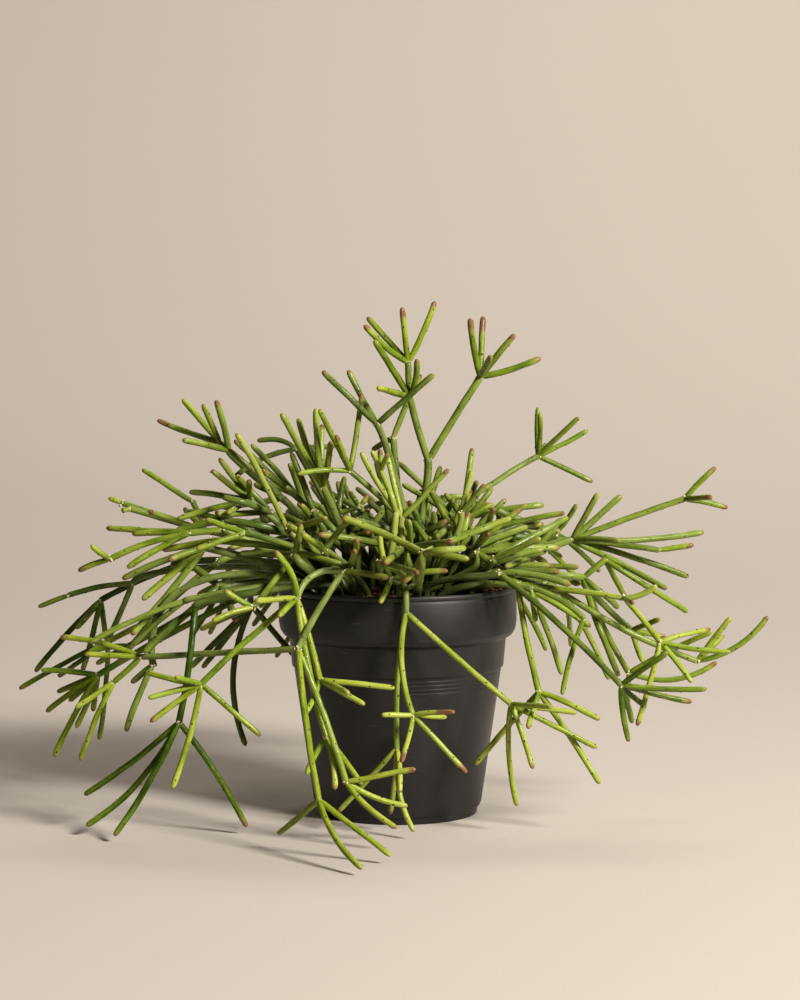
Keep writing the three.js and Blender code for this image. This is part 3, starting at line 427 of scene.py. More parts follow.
def sheet_spot(place):
    """The column and row of the sheet on which a place is seen."""
    line = np.array(place) - VIEW_POINT
    reach = (SHEET_CENTRE - VIEW_POINT) @ SHEET_AHEAD
    offset = line * (reach / (line @ SHEET_AHEAD)) + VIEW_POINT - SHEET_CENTRE
    return (
        SHEET_COLUMN + offset @ SHEET_RIGHT / SHEET_GRID,
        SHEET_ROW - offset @ SHEET_UP / SHEET_GRID,
    )


def around(bearing, reach, height=0.0):
    """The place at that bearing and reach from the pot's axis."""
    return np.array((math.cos(bearing) * reach, math.sin(bearing) * reach, height))


class Stem:
    """A tree of joints, of which joint 0 is the root, and of the shoots between them."""

    def __init__(self, name, root, radius, tone, top=ROOT_TOP):
        self.name, self.radius, self.tone = name, radius, tone
        self.root = np.array((root[0], root[1], top))
        self.joints = [(sheet_spot(self.root), root[1], 0)]
        self.shoots = []

    def grow(self, start, spot, depth, bow):
        """Grows a shoot from a joint to a new one, and gives the new joint's number."""
        age = self.joints[start][2]
        radius = self.radius * AGE_TAPER[min(age, len(AGE_TAPER) - 1)]
        self.joints.append((spot, depth, age + 1))
        self.shoots.append((start, len(self.joints) - 1, bow, radius))
        return len(self.joints) - 1

    def grow_to(self, start, place, bow=0):
        """Grows a shoot from a joint to a place in space."""
        return self.grow(start, sheet_spot(place), place[1], bow)


def drawn_stem(name, root, radius, tone, rows, top=ROOT_TOP):
    """A stem whose shoots are read from its rows of the table."""
    stem = Stem(name, root, radius, tone, top)
    for start, column, row, step, bow in rows:
        stem.grow(start, (column, row), stem.joints[start][1] + step, bow)
    return stem


def back_stem(index):
    """A stem of the far side: it rises a little, leans out and hangs, forking twice."""
    draw = seeded_draws(BACK_SEED + index)
    bearing = BACK_FROM + (BACK_TO - BACK_FROM) * (index + 0.5) / BACK_COUNT
    ring = BACK_RINGS[index % 2]
    stem = Stem(f"back_{index + 1:02d}", around(bearing, ring), draw(1.9, 2.3), draw(0.2, 0.6))
    reach = ring + draw(20, 32)
    height = ROOT_TOP + (draw(24, 38) if index % 2 else draw(8, 16))
    knee = stem.grow_to(0, around(bearing, reach, height))
    for side in (-1, 1):
        swing = bearing + side * draw(0.1, 0.2)
        far = reach + draw(28, 46)
        drop = height - draw(-2, 34)
        fork = stem.grow_to(knee, around(swing, far, drop), draw(2, 6))
        for tip in (-1, 1):
            turn = swing + tip * draw(0.08, 0.2)
            end = far + draw(12, 36)
            hang = max(BACK_LOWEST, drop - draw(4, 44))
            stem.grow_to(fork, around(turn, end, hang), draw(0, 4))
    top = around(bearing + draw(-0.1, 0.1), reach + draw(6, 16), height + draw(16, 30))
    stem.grow_to(knee, top)
    return stem


def inner_stem(index):
    """A shorter stem of the crowded middle, leaning out, with a whorl of three or four at its end."""
    draw = seeded_draws(INNER_SEED + index)
    bearing = index * GOLDEN_TURN + draw(-0.2, 0.2)
    ring = INNER_NEAREST + INNER_SPREAD * math.sqrt((index + 0.5) / INNER_COUNT)
    root = around(bearing, ring)
    stem = Stem(f"inner_{index + 1:02d}", root, draw(1.9, 2.2), draw(0.15, 0.6), MORE_TOP)
    reach = ring + draw(12, 26)
    height = ROOT_TOP + draw(10, 22) + INNER_BACK_RISE * max(0.0, math.sin(bearing))
    knee = stem.grow_to(0, around(bearing, reach, height))
    for _ in range(3 + index % 2):
        turn = bearing + draw(-0.55, 0.55)
        stem.grow_to(knee, around(turn, reach + draw(14, 30), height + draw(-12, 22)), draw(0, 2))
    return stem


def core_stem(index):
    """A short upright stem of the middle, whose whorl spreads all round."""
    draw = seeded_draws(CORE_SEED + index)
    bearing = index * GOLDEN_TURN + draw(-0.2, 0.2)
    full = 1 - CORE_FRONT_BARE * max(0, -math.sin(bearing))
    ring = CORE_NEAREST + CORE_SPREAD * math.sqrt((index + 0.5) / CORE_COUNT) * full
    root = around(bearing, ring)
    stem = Stem(f"core_{index + 1:02d}", root, draw(1.9, 2.2), draw(0.15, 0.6), MORE_TOP)
    top = around(bearing, ring + draw(1, 8), ROOT_TOP + draw(16, 30))
    knee = stem.grow_to(0, top)
    for tip in range(3 + index % 2):
        turn = bearing + tip * math.tau / 4 + draw(-0.4, 0.4)
        stem.grow_to(knee, top + around(turn, draw(8, 20), draw(4, 22)), draw(0, 2))
    return stem


class Plant:
    """All joints and shoots side by side in arrays, so that a round of easing is quick.

    The joints and shoots of a plant that has already grown come first, and hold still.
    """

    def __init__(self, stems, grown=None):
        stems = (grown.stems if grown else []) + stems
        first = np.cumsum([0] + [len(stem.joints) for stem in stems])
        joints = [joint for stem in stems for joint in stem.joints]
        shoots = [
            (index, first[index] + start, first[index] + end, bow, radius)
            for index, stem in enumerate(stems)
            for start, end, bow, radius in stem.shoots
        ]
        self.stems = stems
        self.spot = np.array([spot for spot, _, _ in joints], float)
        self.depth = np.array([depth for _, depth, _ in joints], float)
        self.age = np.array([age for _, _, age in joints])
        self.roots = first[:-1]
        self.root_places = np.array([stem.root for stem in stems])
        self.stem = np.array([shoot[0] for shoot in shoots])
        self.start = np.array([shoot[1] for shoot in shoots])
        self.end = np.array([shoot[2] for shoot in shoots])
        self.radius = np.array([shoot[4] for shoot in shoots], float)
        self.rooted = self.age[self.start] == 0
        self.forks = np.isin(self.end, self.start)
        self.sag = np.zeros(len(shoots))
        self.lift = np.zeros(len(shoots))
        self.middle_spot = self.bowed(np.array([shoot[3] for shoot in shoots], float))
        self.bands = None
        self.drawn_depth = self.depth.copy()
        self.held_joints, self.held_shoots = (len(grown.depth), len(grown.sag)) if grown else (0, 0)
        if grown:
            self.depth[:self.held_joints] = grown.depth
            self.sag[:self.held_shoots] = grown.sag
            self.lift[:self.held_shoots] = grown.lift

    def bowed(self, bow):
        """The spots halfway along the shoots, stood off towards the sheet's upper right."""
        start, end = self.spot[self.start], self.spot[self.end]
        across, down = (end - start).T
        scale = bow * np.where(across + down < 0, 1, -1) / np.hypot(across, down)
        return (start + end) / 2 + np.stack((-down * scale, across * scale), axis=1)

    def measure(self):
        """The curve of each shoot as four Bezier points, and its straight bands."""
        places = sheet_points(self.spot, self.depth)
        places[self.roots] = self.root_places
        start, end = places[self.start], places[self.end]
        depth = (self.depth[self.start] + self.depth[self.end]) / 2 + self.sag
        middle = sheet_points(self.middle_spot, depth)
        middle[:, 2] += self.lift
        pull = 2 * middle - start / 2 - end / 2
        rise = start + UP * ROOT_RISE
        if self.held_shoots:
            leaning = start + (end - start) * MORE_LEAN + UP * MORE_RISE
            rise[self.held_shoots:] = leaning[self.held_shoots:]
        rooted = self.rooted[:, None]
        second = np.where(rooted, rise, start + (pull - start) * 2 / 3)
        third = np.where(rooted, (8 * middle - start - 3 * rise - end) / 3, end + (pull - end) * 2 / 3)
        self.curve = np.stack((start, second, third, end), axis=1)
        bend = np.linalg.norm(bezier(self.curve, 0.5) - (start + end) / 2, axis=1)
        bands = np.where(self.rooted | (bend > EASY_BEND), FULL_BANDS, np.where(bend < STRAIGHT_BEND, 1, 2))
        shares = np.arange(FULL_BANDS + 1) / FULL_BANDS
        self.course = np.stack([bezier(self.curve, share) for share in shares], axis=1)
        if self.bands is None or (bands != self.bands).any():
            self.lay_bands(bands)
        self.band_start = self.course[self.band_shoot, self.band_index * self.band_step]
        self.band_end = self.course[self.band_shoot, (self.band_index + 1) * self.band_step]

    def lay_bands(self, bands):
        """Numbers the bands, and pairs up those of different stems."""
        self.bands = bands
        self.band_shoot = np.repeat(np.arange(len(bands)), bands)
        self.band_index = np.concatenate([np.arange(count) for count in bands])
        self.band_step = FULL_BANDS // bands[self.band_shoot]
        one, two = np.triu_indices(len(self.band_shoot), 1)
        apart = self.stem[self.band_shoot[one]] != self.stem[self.band_shoot[two]]
        apart &= self.band_shoot[two] >= self.held_shoots
        self.pairs = one[apart], two[apart]

    def prune(self):
        """Leaves out the added shoots that found no room, and all that they carry."""
        one, two = self.pairs
        _, _, gap = closest_points(
            self.band_start[one], self.band_end[one], self.band_start[two], self.band_end[two],
        )
        room = self.radius[self.band_shoot[one]] + self.radius[self.band_shoot[two]]
        tight = dot(gap, gap) < (room * MORE_OVERLAP) ** 2
        kept = np.ones(len(self.stem), bool)
        kept[self.band_shoot[two[tight]]] = False
        kept[:self.held_shoots] = True
        reached = np.zeros(len(self.depth), bool)
        reached[self.roots] = True
        for shoot in range(len(self.stem)):
            kept[shoot] &= reached[self.start[shoot]]
            reached[self.end[shoot]] = kept[shoot]
        for name in ("stem", "start", "end", "radius", "rooted", "curve"):
            setattr(self, name, getattr(self, name)[kept])
        self.forks = np.isin(self.end, self.start)


def bezier(curve, share):
    """The points at that share of the way along curves of four Bezier points each."""
    rest = 1 - share
    weights = (rest**3, 3 * rest**2 * share, 3 * rest * share**2, share**3)
    return sum(weight * curve[:, index] for index, weight in enumerate(weights))


class Pushes:
    """Of the pushes that one value gets in a round, the strongest each way count."""

    def __init__(self, count):
        self.back, self.ahead = np.zeros(count), np.zeros(count)

    def add(self, which, amount):
        np.minimum.at(self.back, which, amount)
        np.maximum.at(self.ahead, which, amount)

    def move(self):
        return np.clip((self.back + self.ahead) * EASE_SHARE, -EASE_LIMIT, EASE_LIMIT)


def push_depth(plant, depths, sags, shoot, share, push):
    """Shares a push in depth out between a shoot's two joints and its sag."""
    pulls = np.stack((np.where(plant.rooted[shoot], 0, 1 - share), share, 4 * share * (1 - share)))
    whole = (pulls**2).sum(axis=0)
    moved = whole >= LEAST_PULL
    pull = pulls * push / np.where(moved, whole, 1) * moved
    depths.add(plant.start[shoot], pull[0])
    depths.add(plant.end[shoot], pull[1])
    sags.add(shoot, pull[2])


def dot(one, two):
    return (one * two).sum(axis=-1)


def closest_points(start, end, other_start, other_end):
    """The shares along two lines of their closest points, and the way between these."""
    first, second, apart = end - start, other_end - other_start, start - other_start
    firsts, seconds, both = dot(first, first), dot(second, second), dot(first, second)
    first_apart, second_apart = dot(first, apart), dot(second, apart)
    spread = firsts * seconds - both * both
    crossing = spread > TINY
    meeting = (both * second_apart - first_apart * seconds) / np.where(crossing, spread, 1)
    along = np.where(crossing, np.clip(meeting, 0, 1), 0)
    other = (both * along + second_apart) / seconds
    along = np.where(other < 0, np.clip(-first_apart / firsts, 0, 1), along)
    along = np.where(other > 1, np.clip((both - first_apart) / firsts, 0, 1), along)
    other = np.clip(other, 0, 1)
    return along, other, second * other[:, None] - first * along[:, None] - apart


def ease_pairs(plant, depths, sags):
    """Pushes bands of different stems apart along the lines of view."""
    need = plant.radius[plant.band_shoot]
    reach = (need + STEM_CLEARANCE / 2)[:, None]
    low = np.minimum(plant.band_start, plant.band_end) - reach
    high = np.maximum(plant.band_start, plant.band_end) + reach
    one, two = plant.pairs
    for axis in range(3):
        near = (low[one, axis] < high[two, axis]) & (low[two, axis] < high[one, axis])
        one, two = one[near], two[near]
    starts, ends = plant.band_start, plant.band_end
    along, other, gap = closest_points(starts[one], ends[one], starts[two], ends[two])
    need = need[one] + need[two] + STEM_CLEARANCE
    distance = dot(gap, gap)
    beside = np.maximum(0, distance - gap[:, 1] ** 2)
    close = distance < need * need
    missing = np.sqrt(np.maximum(0, need * need - beside)) - np.abs(gap[:, 1])
    push = (missing / 2 * np.where(gap[:, 1] < 0, -1, 1))[close]
    for band, share, sense in ((one, along, -1), (two, other, 1)):
        band, shoot = band[close], plant.band_shoot[band[close]]
        share = (plant.band_index[band] + share[close]) / plant.bands[shoot]
        push_depth(plant, depths, sags, shoot, share, push * sense)


def ease_off_pot(plant, depths, sags, lifts):
    """Moves what would cut the pot outwards, or lifts it over the rim."""
    steps = np.arange(1, POT_CHECKS + 1) / POT_CHECKS
    shoot, share = (grid.ravel() for grid in np.meshgrid(np.arange(len(plant.stem)), steps, indexing="ij"))
    bands = plant.bands[shoot]
    band = np.minimum(bands - 1, np.floor(share * bands).astype(int))
    step = FULL_BANDS // bands
    low, high = plant.course[shoot, band * step], plant.course[shoot, (band + 1) * step]
    point = low + (high - low) * (share * bands - band)[:, None]
    x, y, z = point.T
    radius = plant.radius[shoot]
    over = POT_HEIGHT + radius + STEM_CLEARANCE
    away = np.hypot(x, y)
    need = np.interp(z, OUTSIDE_LEVELS, OUTSIDE_RADII, right=RIM_RADIUS) + radius + STEM_CLEARANCE
    cuts = (z <= over) & (away <= need)
    above = plant.rooted[shoot] | ((away < RIM_RADIUS) & (z > SOIL_EDGE - MOUTH_DEPTH))
    mouth = MOUTH_RADIUS - radius - STEM_CLEARANCE
    bed = MORE_TOP if plant.held_shoots else SOIL_CROWN + SOIL_CRUMB + radius
    missing = np.where(away > mouth, over, bed) - z
    lifted = cuts & above & (missing > 0) & (share < 1)
    lifts.add(shoot[lifted], (missing / np.maximum(4 * share * (1 - share), TINY))[lifted])
    pushed = cuts & ~above
    depth = np.sign(y) * np.sqrt(np.maximum(0, need * need - x * x))
    push_depth(plant, depths, sags, shoot[pushed], share[pushed], (depth - y)[pushed])


def ease_apart(plant, rounds):
    """Bends stems that would cross clear of each other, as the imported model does."""
    for _ in range(rounds):
        plant.measure()
        depths, sags, lifts = (Pushes(len(values)) for values in (plant.depth, plant.sag, plant.lift))
        ease_pairs(plant, depths, sags)
        ease_off_pot(plant, depths, sags, lifts)
        joints, shoots = slice(plant.held_joints, None), slice(plant.held_shoots, None)
        plant.depth[joints] += depths.move()[joints]
        plant.sag[shoots] += sags.move()[shoots]
        plant.lift[shoots] += lifts.move()[shoots]
        if plant.held_shoots:
            drawn = plant.drawn_depth[joints]
            plant.depth[joints] = np.clip(plant.depth[joints], drawn - MORE_STRAY, drawn + MORE_STRAY)
            plant.sag[shoots] = np.clip(plant.sag[shoots], -MORE_SAG, MORE_SAG)
            plant.lift[shoots] = np.clip(plant.lift[shoots], 0, MORE_LIFT)
    plant.measure()


# ---- Shared making ------------------------------------------------------------------------------
def add_object(name, data):
    """A new object of the scene, at the origin."""
    thing = bpy.data.objects.new(name, data)
    bpy.context.scene.collection.objects.link(thing)
    return thing


def mesh_of(name, shape):
    """A mesh made from a bmesh, which is freed."""
    data = bpy.data.meshes.new(name)
    shape.to_mesh(data)
    shape.free()
    return data


def piece_from(name, mesh, materials, replaces=(), smooth=True):
    """A finished object at the origin from a bmesh in millimetres, riding on the frame."""
    bmesh.ops.scale(mesh, vec=(MM, MM, MM), verts=mesh.verts)
    data = mesh_of(name, mesh)
    for material in materials:
        data.materials.append(material)
    if smooth:
        data.shade_smooth()
    piece = add_object(name, data)
    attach(piece, "root")
    if replaces:
        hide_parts(*replaces)
    return piece


def corners(data):
    """The places of a mesh's corners, one row for each."""
    places = np.empty(len(data.vertices) * 3, np.float32)
    data.vertices.foreach_get("co", places)
    return places.reshape(-1, 3).astype(float)


def move_verts(mesh, places):
    """Moves a bmesh's corners to those places, in their order."""
    for vert, place in zip(mesh.verts, places):
        vert.co = place


def smooth_noise(x, y, z):
    return noise.noise(Vector((x, y, z)))


def extruded(mesh, edges):
    """Extrudes a ring's edges where they are, and gives the new edges and corners."""
    grown = bmesh.ops.extrude_edge_only(mesh, edges=edges)["geom"]
    new_edges = [part for part in grown if isinstance(part, bmesh.types.BMEdge)]
    return new_edges, [part for part in grown if isinstance(part, bmesh.types.BMVert)]


def ringed_blank(sides, rings):
    """A closed straight tube of unit radius: its rings lie one apart, its poles one beyond them."""
    mesh = bmesh.new()
    bmesh.ops.create_circle(mesh, cap_ends=True, segments=sides, radius=1)
    edges = mesh.edges[:]
    for _ in range(rings - 1):
        edges, verts = extruded(mesh, edges)
        bmesh.ops.translate(mesh, verts=verts, vec=UP)
    bmesh.ops.edgenet_fill(mesh, edges=edges)
    caps = [face for face in mesh.faces if len(face.verts) == sides]
    for pole in bmesh.ops.poke(mesh, faces=caps)["verts"]:
        pole.co.z += 1 if pole.co.z > 0.5 else -1
    bmesh.ops.recalc_face_normals(mesh, faces=mesh.faces)
    return mesh


def grain_blank():
    """A small round body of unit radius."""
    mesh = bmesh.new()
    bmesh.ops.create_icosphere(mesh, subdivisions=1, radius=1)
    return mesh_of("grain", mesh)


def frames_along(points):
    """Two directions across the line at each point, which don't twist about it."""
    ways = np.gradient(points, axis=0)
    ways /= np.linalg.norm(ways, axis=1)[:, None]
    side = SHEET_RIGHT if abs(ways[0][0]) < 0.9 else UP
    sides = []
    for way in ways:
        side = side - (side @ way) * way
        side = side / np.linalg.norm(side)
        sides.append(side)
    sides = np.array(sides)
    return sides, np.cross(sides, ways)


class Tube:
    """A ringed blank that knows which ring each corner is on, to be bent along a line."""

    def __init__(self, sides, rings):
        self.mesh = mesh_of("tube", ringed_blank(sides, rings))
        places = corners(self.mesh)
        self.ring = np.rint(places[:, 2]).astype(int) + 1
        self.across = places[:, :2]

    def bent(self, points, radii):
        """The corners' places along a line, and how far each stands off it."""
        ring = self.ring
        sides, others = frames_along(points)
        offsets = self.across * radii[ring][:, None]
        return points[ring] + offsets[:, :1] * sides[ring] + offsets[:, 1:] * others[ring], offsets


def spun(outline, segments):
    """A bmesh from a half section, as (radius, height), turned about the Z axis."""
    mesh = bmesh.new()
    verts = [mesh.verts.new((radius, 0, height)) for radius, height in outline]
    edges = [mesh.edges.new(pair) for pair in zip(verts, verts[1:])]
    bmesh.ops.spin(
        mesh, geom=verts + edges, axis=UP, cent=(0, 0, 0), dvec=(0, 0, 0), angle=math.tau,
        steps=segments, use_merge=True, use_duplicate=False,
    )
    bmesh.ops.remove_doubles(mesh, verts=mesh.verts, dist=1e-4)
    bmesh.ops.recalc_face_normals(mesh, faces=mesh.faces)
    return mesh


# ---- Stems --------------------------------------------------------------------------------------
SHOOT_SIDES = 12
MIDDLE_RINGS = 12
# The ends of a shoot as (distance from the end in radii, share of its radius).
BASE_RINGS = ((0, 0.7), (0.6, 0.78), (1.2, 0.88), (2.0, 0.96), (3.4, 1.0))
TIP_RINGS = ((4.0, 1.0), (2.2, 0.97), (1.25, 0.9), (0.7, 0.76), (0.36, 0.56), (0.14, 0.3))
FORK_RINGS = ((3.0, 1.0), (1.4, 1.0), (0.4, 1.01), (-0.1, 0.95), (-0.4, 0.77), (-0.6, 0.42))
POLE_REACH = 0.1
FULLNESS = 0.88
RING_COUNT = len(BASE_RINGS) + MIDDLE_RINGS + len(TIP_RINGS)
COURSE_STEPS = 40
# How far a shoot wanders off its line and swells, over what length, by which layers of noise.
WOBBLE = 0.22
WOBBLE_LENGTH = 17
WOBBLE_LAYERS = ((0, 0), (2, 7))
THICKNESS_CHANGE = 0.05
THICKNESS_LENGTH = 9
THICKNESS_LAYER = 3


class Course:
    """The line that a shoot follows, measured in millimetres from where it starts."""

    def __init__(self, curve, rooted):
        shares = np.linspace(0, 1, COURSE_STEPS + 1)
        points = np.concatenate([bezier(curve[None], share) for share in shares])
        if rooted:
            points = np.concatenate((points[:1] - UP * ROOT_DEPTH, points))
        lengths = np.linalg.norm(np.diff(points, axis=0), axis=1)
        self.points = points
        self.along = np.concatenate(([0], np.cumsum(lengths)))
        self.length = self.along[-1]

    def at(self, along):
        """Points at those distances, straight on past both ends."""
        places = np.stack([np.interp(along, self.along, self.points[:, axis]) for axis in range(3)], 1)
        first, last = self.points[1] - self.points[0], self.points[-1] - self.points[-2]
        before = np.minimum(0, along)[:, None]
        past = np.maximum(0, along - self.length)[:, None]
        return places + before * first / np.linalg.norm(first) + past * last / np.linalg.norm(last)


def shoot_rings(length, radius, forks):
    """Distances along a shoot of its poles and rings, and its radius at each."""
    ends = FORK_RINGS if forks else TIP_RINGS
    base = [(along * radius, share) for along, share in BASE_RINGS]
    tip = [(length - along * radius, share) for along, share in ends]
    middle = np.linspace(base[-1][0], tip[0][0], MIDDLE_RINGS + 2)[1:-1]
    rings = base + [(along, 1) for along in middle] + tip
    pole = POLE_REACH * radius
    along, shares = np.array([(base[0][0] - pole, 0), *rings, (tip[-1][0] + pole, 0)]).T
    return along, shares * radius


# What a shoot looks like, drawn for each from its stem's seed. A vertex keeps three values for the
# skin: where it would be on a straight shoot; the tone, bloom and freshness of its shoot; and how
# far it is from the base and from the tip, and how much of the tip is brown.
SKIN_VALUES = ("unbent", "growth", "ends")
LOOK_SEED = 7100
NOISE_ROOM = 900
FAR_FROM_TIP = 99.0
ROOT_CORK_FREE = 20
OLDEST_AGE = 4
MIDDLE_AGE = 1.5
YOUNG_BRIGHTER = 0.07
TONE_CHANGE = 0.12
BLOOM_FADE = 0.42
BLOOM_CHANGE = 0.2
LESS_BLOOM = {"hanging_claw": 0.7, "dark_claw": 0.5, "low_fan": 0.4}

# Millimetres of brown at a tip: the share of tips that have some, how much they and the green ones
# have, and the long ones by stem and by the column that the shoot ends at.
BROWN_TIPS = 0.4
BROWN_LENGTHS = (0.6, 3.2)
GREEN_LENGTHS = (-0.6, 0.4)
LONG_BROWN_TIPS = {
    "high_left": {157: 7},
    "tall_fork": {364: 4, 402: 5, 435: 3, 470: 5, 483: 8, 515: 3, 541: 3},
    "right_star": {694: 2, 712: 4, 716: 3, 728: 3},
    "front_drop": {401: 5, 448: 3, 455: 9, 467: 5},
    "front_fountain": {201: 5},
}

# Grey or deeper green shoots, by stem and by the column that they end at, and deeper green stems.
GREY_SHOOTS = {"front_fountain": (141, 297, 298), "front_drop": (391, 406)}
GREY_TONE = 0.3
GREY_BLOOM = 1.3
DEEPER_SHOOTS = {
    "front_fountain": (60, 75, 80, 84, 114, 145, 148, 150, 172, 175, 201, 261, 278, 319, 362, 391),
    "front_drop": (511, 517, 533, 577, 597),
}
DEEPER_STEMS = ("tall_fork", "right_star", "right_cross", "right_arc")
DEEPER_TONE = 0.16

AREOLE_SPACING = 3.4
AREOLE_STRAY = 0.8
AREOLE_FROM_BASE = 3
AREOLE_FROM_FORK = 2
AREOLE_FROM_TIP = 1.2
AREOLE_SIDES = 6
AREOLE_CROWN = 0.45
AREOLE_RADIUS = 0.4
AREOLE_SIZES = (0.7, 1.25)
AREOLE_STRETCH = 1.3
AREOLE_RISE = 0.16
AREOLE_SEAT = 0.97
SCAR_SHARE = 0.7
SCAR_GRAINS = 6
SCAR_GRAIN = 0.62
SCAR_SPREAD = (-0.6, 0.9)
SCAR_REACH = 0.6
SCAR_SEAT = 0.95


def areole_blank():
    """A low cushion of unit radius, with its narrow side up."""
    mesh = bmesh.new()
    bmesh.ops.create_cone(
        mesh, cap_ends=True, segments=AREOLE_SIDES, radius1=1, radius2=AREOLE_CROWN, depth=1,
    )
    return mesh_of("areole", mesh)


class StemMaker:
    """Bends copies of the blanks along a plant's shoots, and keeps what the finish follows."""

    def __init__(self, plant, finishes):
        self.plant, self.finishes, self.room = plant, finishes, np.array(cad_box) / MM
        self.tube = Tube(SHOOT_SIDES, RING_COUNT)
        self.areole, self.grain = areole_blank(), grain_blank()

    def add(self, blank, material, places, unbent=0, growth=0, ends=0):
        """Adds a copy of a blank, moved to those places, with the values that its finish reads."""
        first = len(self.mesh.faces)
        self.mesh.from_mesh(blank)
        self.mesh.faces.ensure_lookup_table()
        for face in self.mesh.faces[first:]:
            face.material_index = material
        self.places.append(places)
        for kept, values in zip(self.values, (unbent, growth, ends)):
            kept.append(np.broadcast_to(values, places.shape))

    def add_shoot(self, index, draw):
        plant = self.plant
        radius, forks = plant.radius[index] * FULLNESS, plant.forks[index]
        course = Course(plant.curve[index], plant.rooted[index])
        along, radii = shoot_rings(course.length, radius, forks)
        points = course.at(along)
        place = draw(0, NOISE_ROOM)
        for ring, distance in enumerate(along):
            share = distance / course.length
            hold = 4 * share * (1 - share) if 0 < share < 1 else 0
            wave = distance / WOBBLE_LENGTH
            for axis, layer in WOBBLE_LAYERS:
                points[ring, axis] += hold * WOBBLE * 2 * smooth_noise(place, wave, layer)
            swell = smooth_noise(place, distance / THICKNESS_LENGTH, THICKNESS_LAYER)
            radii[ring] *= 1 + 2 * THICKNESS_CHANGE * swell
        places, offsets = self.tube.bent(points, radii)
        along = along[self.tube.ring]
        growth, brown = self.look(index, draw)
        from_base = along + (ROOT_CORK_FREE if plant.rooted[index] else 0)
        to_tip = np.full(len(along), FAR_FROM_TIP) if forks else course.length - along
        self.add(
            self.tube.mesh, 0, places, np.column_stack((offsets, along)) + (0, 0, place), growth,
            np.column_stack((from_base, to_tip, np.full(len(along), brown))),
        )
        self.add_areoles(course, radius, forks, draw)
        if forks:
            self.add_scar(course, radius, draw)

    def look(self, index, draw):
        """The tone, age bloom and freshness of a shoot, and how many millimetres of its tip are brown."""
        plant = self.plant
        stem = plant.stems[plant.stem[index]]
        age = min(plant.age[plant.start[index]], OLDEST_AGE)
        tone = stem.tone + YOUNG_BRIGHTER * (age - MIDDLE_AGE) + draw(-TONE_CHANGE, TONE_CHANGE)
        bloom = 1.0 - BLOOM_FADE * age + draw(-BLOOM_CHANGE, BLOOM_CHANGE)
        bloom = max(0.0, bloom - LESS_BLOOM.get(stem.name, 0.0))
        brown = draw(*BROWN_LENGTHS) if draw(0, 1) < BROWN_TIPS else draw(*GREEN_LENGTHS)
        column = round(float(plant.spot[plant.end[index]][0]))
        brown = LONG_BROWN_TIPS.get(stem.name, {}).get(column, brown)
        if stem.name in DEEPER_STEMS or column in DEEPER_SHOOTS.get(stem.name, ()):
            tone -= DEEPER_TONE
        if column in GREY_SHOOTS.get(stem.name, ()):
            tone, bloom = GREY_TONE, GREY_BLOOM
        return (tone, bloom, draw(0, 1)), brown

    def add_areoles(self, course, radius, forks, draw):
        """Small dark cushions in a spiral, each raised from the skin."""
        last = course.length - (AREOLE_FROM_FORK if forks else AREOLE_FROM_TIP)
        first = draw(AREOLE_FROM_BASE, AREOLE_FROM_BASE + AREOLE_SPACING)
        along = np.arange(first, last, AREOLE_SPACING)
        if len(along) < 2:
            return
        along = along + np.array([draw(-AREOLE_STRAY, AREOLE_STRAY) for _ in along])
        points = course.at(along)
        sides, others = frames_along(points)
        turn = draw(0, math.tau)
        blank = corners(self.areole)
        for index, point in enumerate(points):
            angle = turn + index * GOLDEN_TURN
            out = math.cos(angle) * sides[index] + math.sin(angle) * others[index]
            ahead = np.cross(sides[index], others[index])
            beside = np.cross(out, ahead)
            size = AREOLE_RADIUS * draw(*AREOLE_SIZES)
            spread = blank[:, :1] * ahead * AREOLE_STRETCH + blank[:, 1:2] * beside
            rise = (radius * AREOLE_SEAT + AREOLE_RISE * 0.5 + blank[:, 2:] * AREOLE_RISE) * out
            self.add(self.areole, 1, point + spread * size + rise)

    def add_scar(self, course, radius, draw):
        """Corky grains around the joint that a shoot ends in."""
        if draw(0, 1) > SCAR_SHARE:
            return
        before, end = course.at(np.array([course.length - 1.0, course.length]))
        sides, others = frames_along(np.array((before, end)))
        blank = corners(self.grain)
        for _ in range(SCAR_GRAINS):
            angle = draw(0, math.tau)
            out = math.cos(angle) * sides[1] + math.sin(angle) * others[1]
            along = (end - before) * draw(*SCAR_SPREAD) * radius * SCAR_REACH
            size = SCAR_GRAIN * draw(0.6, 1.2) * np.array([draw(0.7, 1.3) for _ in range(3)])
            seat = end + along + out * radius * SCAR_SEAT
            self.add(self.grain, 2, seat + blank * size)

    def make(self, number, packed):
        """Makes the finished piece of one stem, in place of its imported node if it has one."""
        plant = self.plant
        stem = plant.stems[number]
        draw = seeded_draws(LOOK_SEED + number)
        self.mesh = bmesh.new()
        self.places, self.values = [], [[] for _ in SKIN_VALUES]
        for index in np.flatnonzero(plant.stem == number):
            self.add_shoot(index, draw)
        move_verts(self.mesh, np.clip(np.concatenate(self.places), *self.room))
        replaced = [f"stem_{stem.name}"] if packed else []
        piece = piece_from(f"shoots_{stem.name}", self.mesh, self.finishes, replaced)
        for name, values in zip(SKIN_VALUES, self.values):
            attribute = piece.data.attributes.new(name, "FLOAT_VECTOR", "POINT")
            attribute.data.foreach_set("vector", np.concatenate(values).astype(np.float32).ravel())


# ---- Pot ----------------------------------------------------------------------------------------
POT_SEGMENTS = 144
LIP_GROOVE = 0.45
GROOVE_HEIGHTS = (66.2, 68.2, 70.2, 72.2)
GROOVE_DEPTH = 0.07
GROOVE_WIDTH = 0.7
FOOT_STEP = 0.4
SOFTEN_FROM = math.radians(20)
SOFT_EDGE = 0.18
LEVEL = 1e-3
SHARP_FROM = math.radians(32)
DRILL_LENGTH = 8
DRILL_MIDDLE = 2


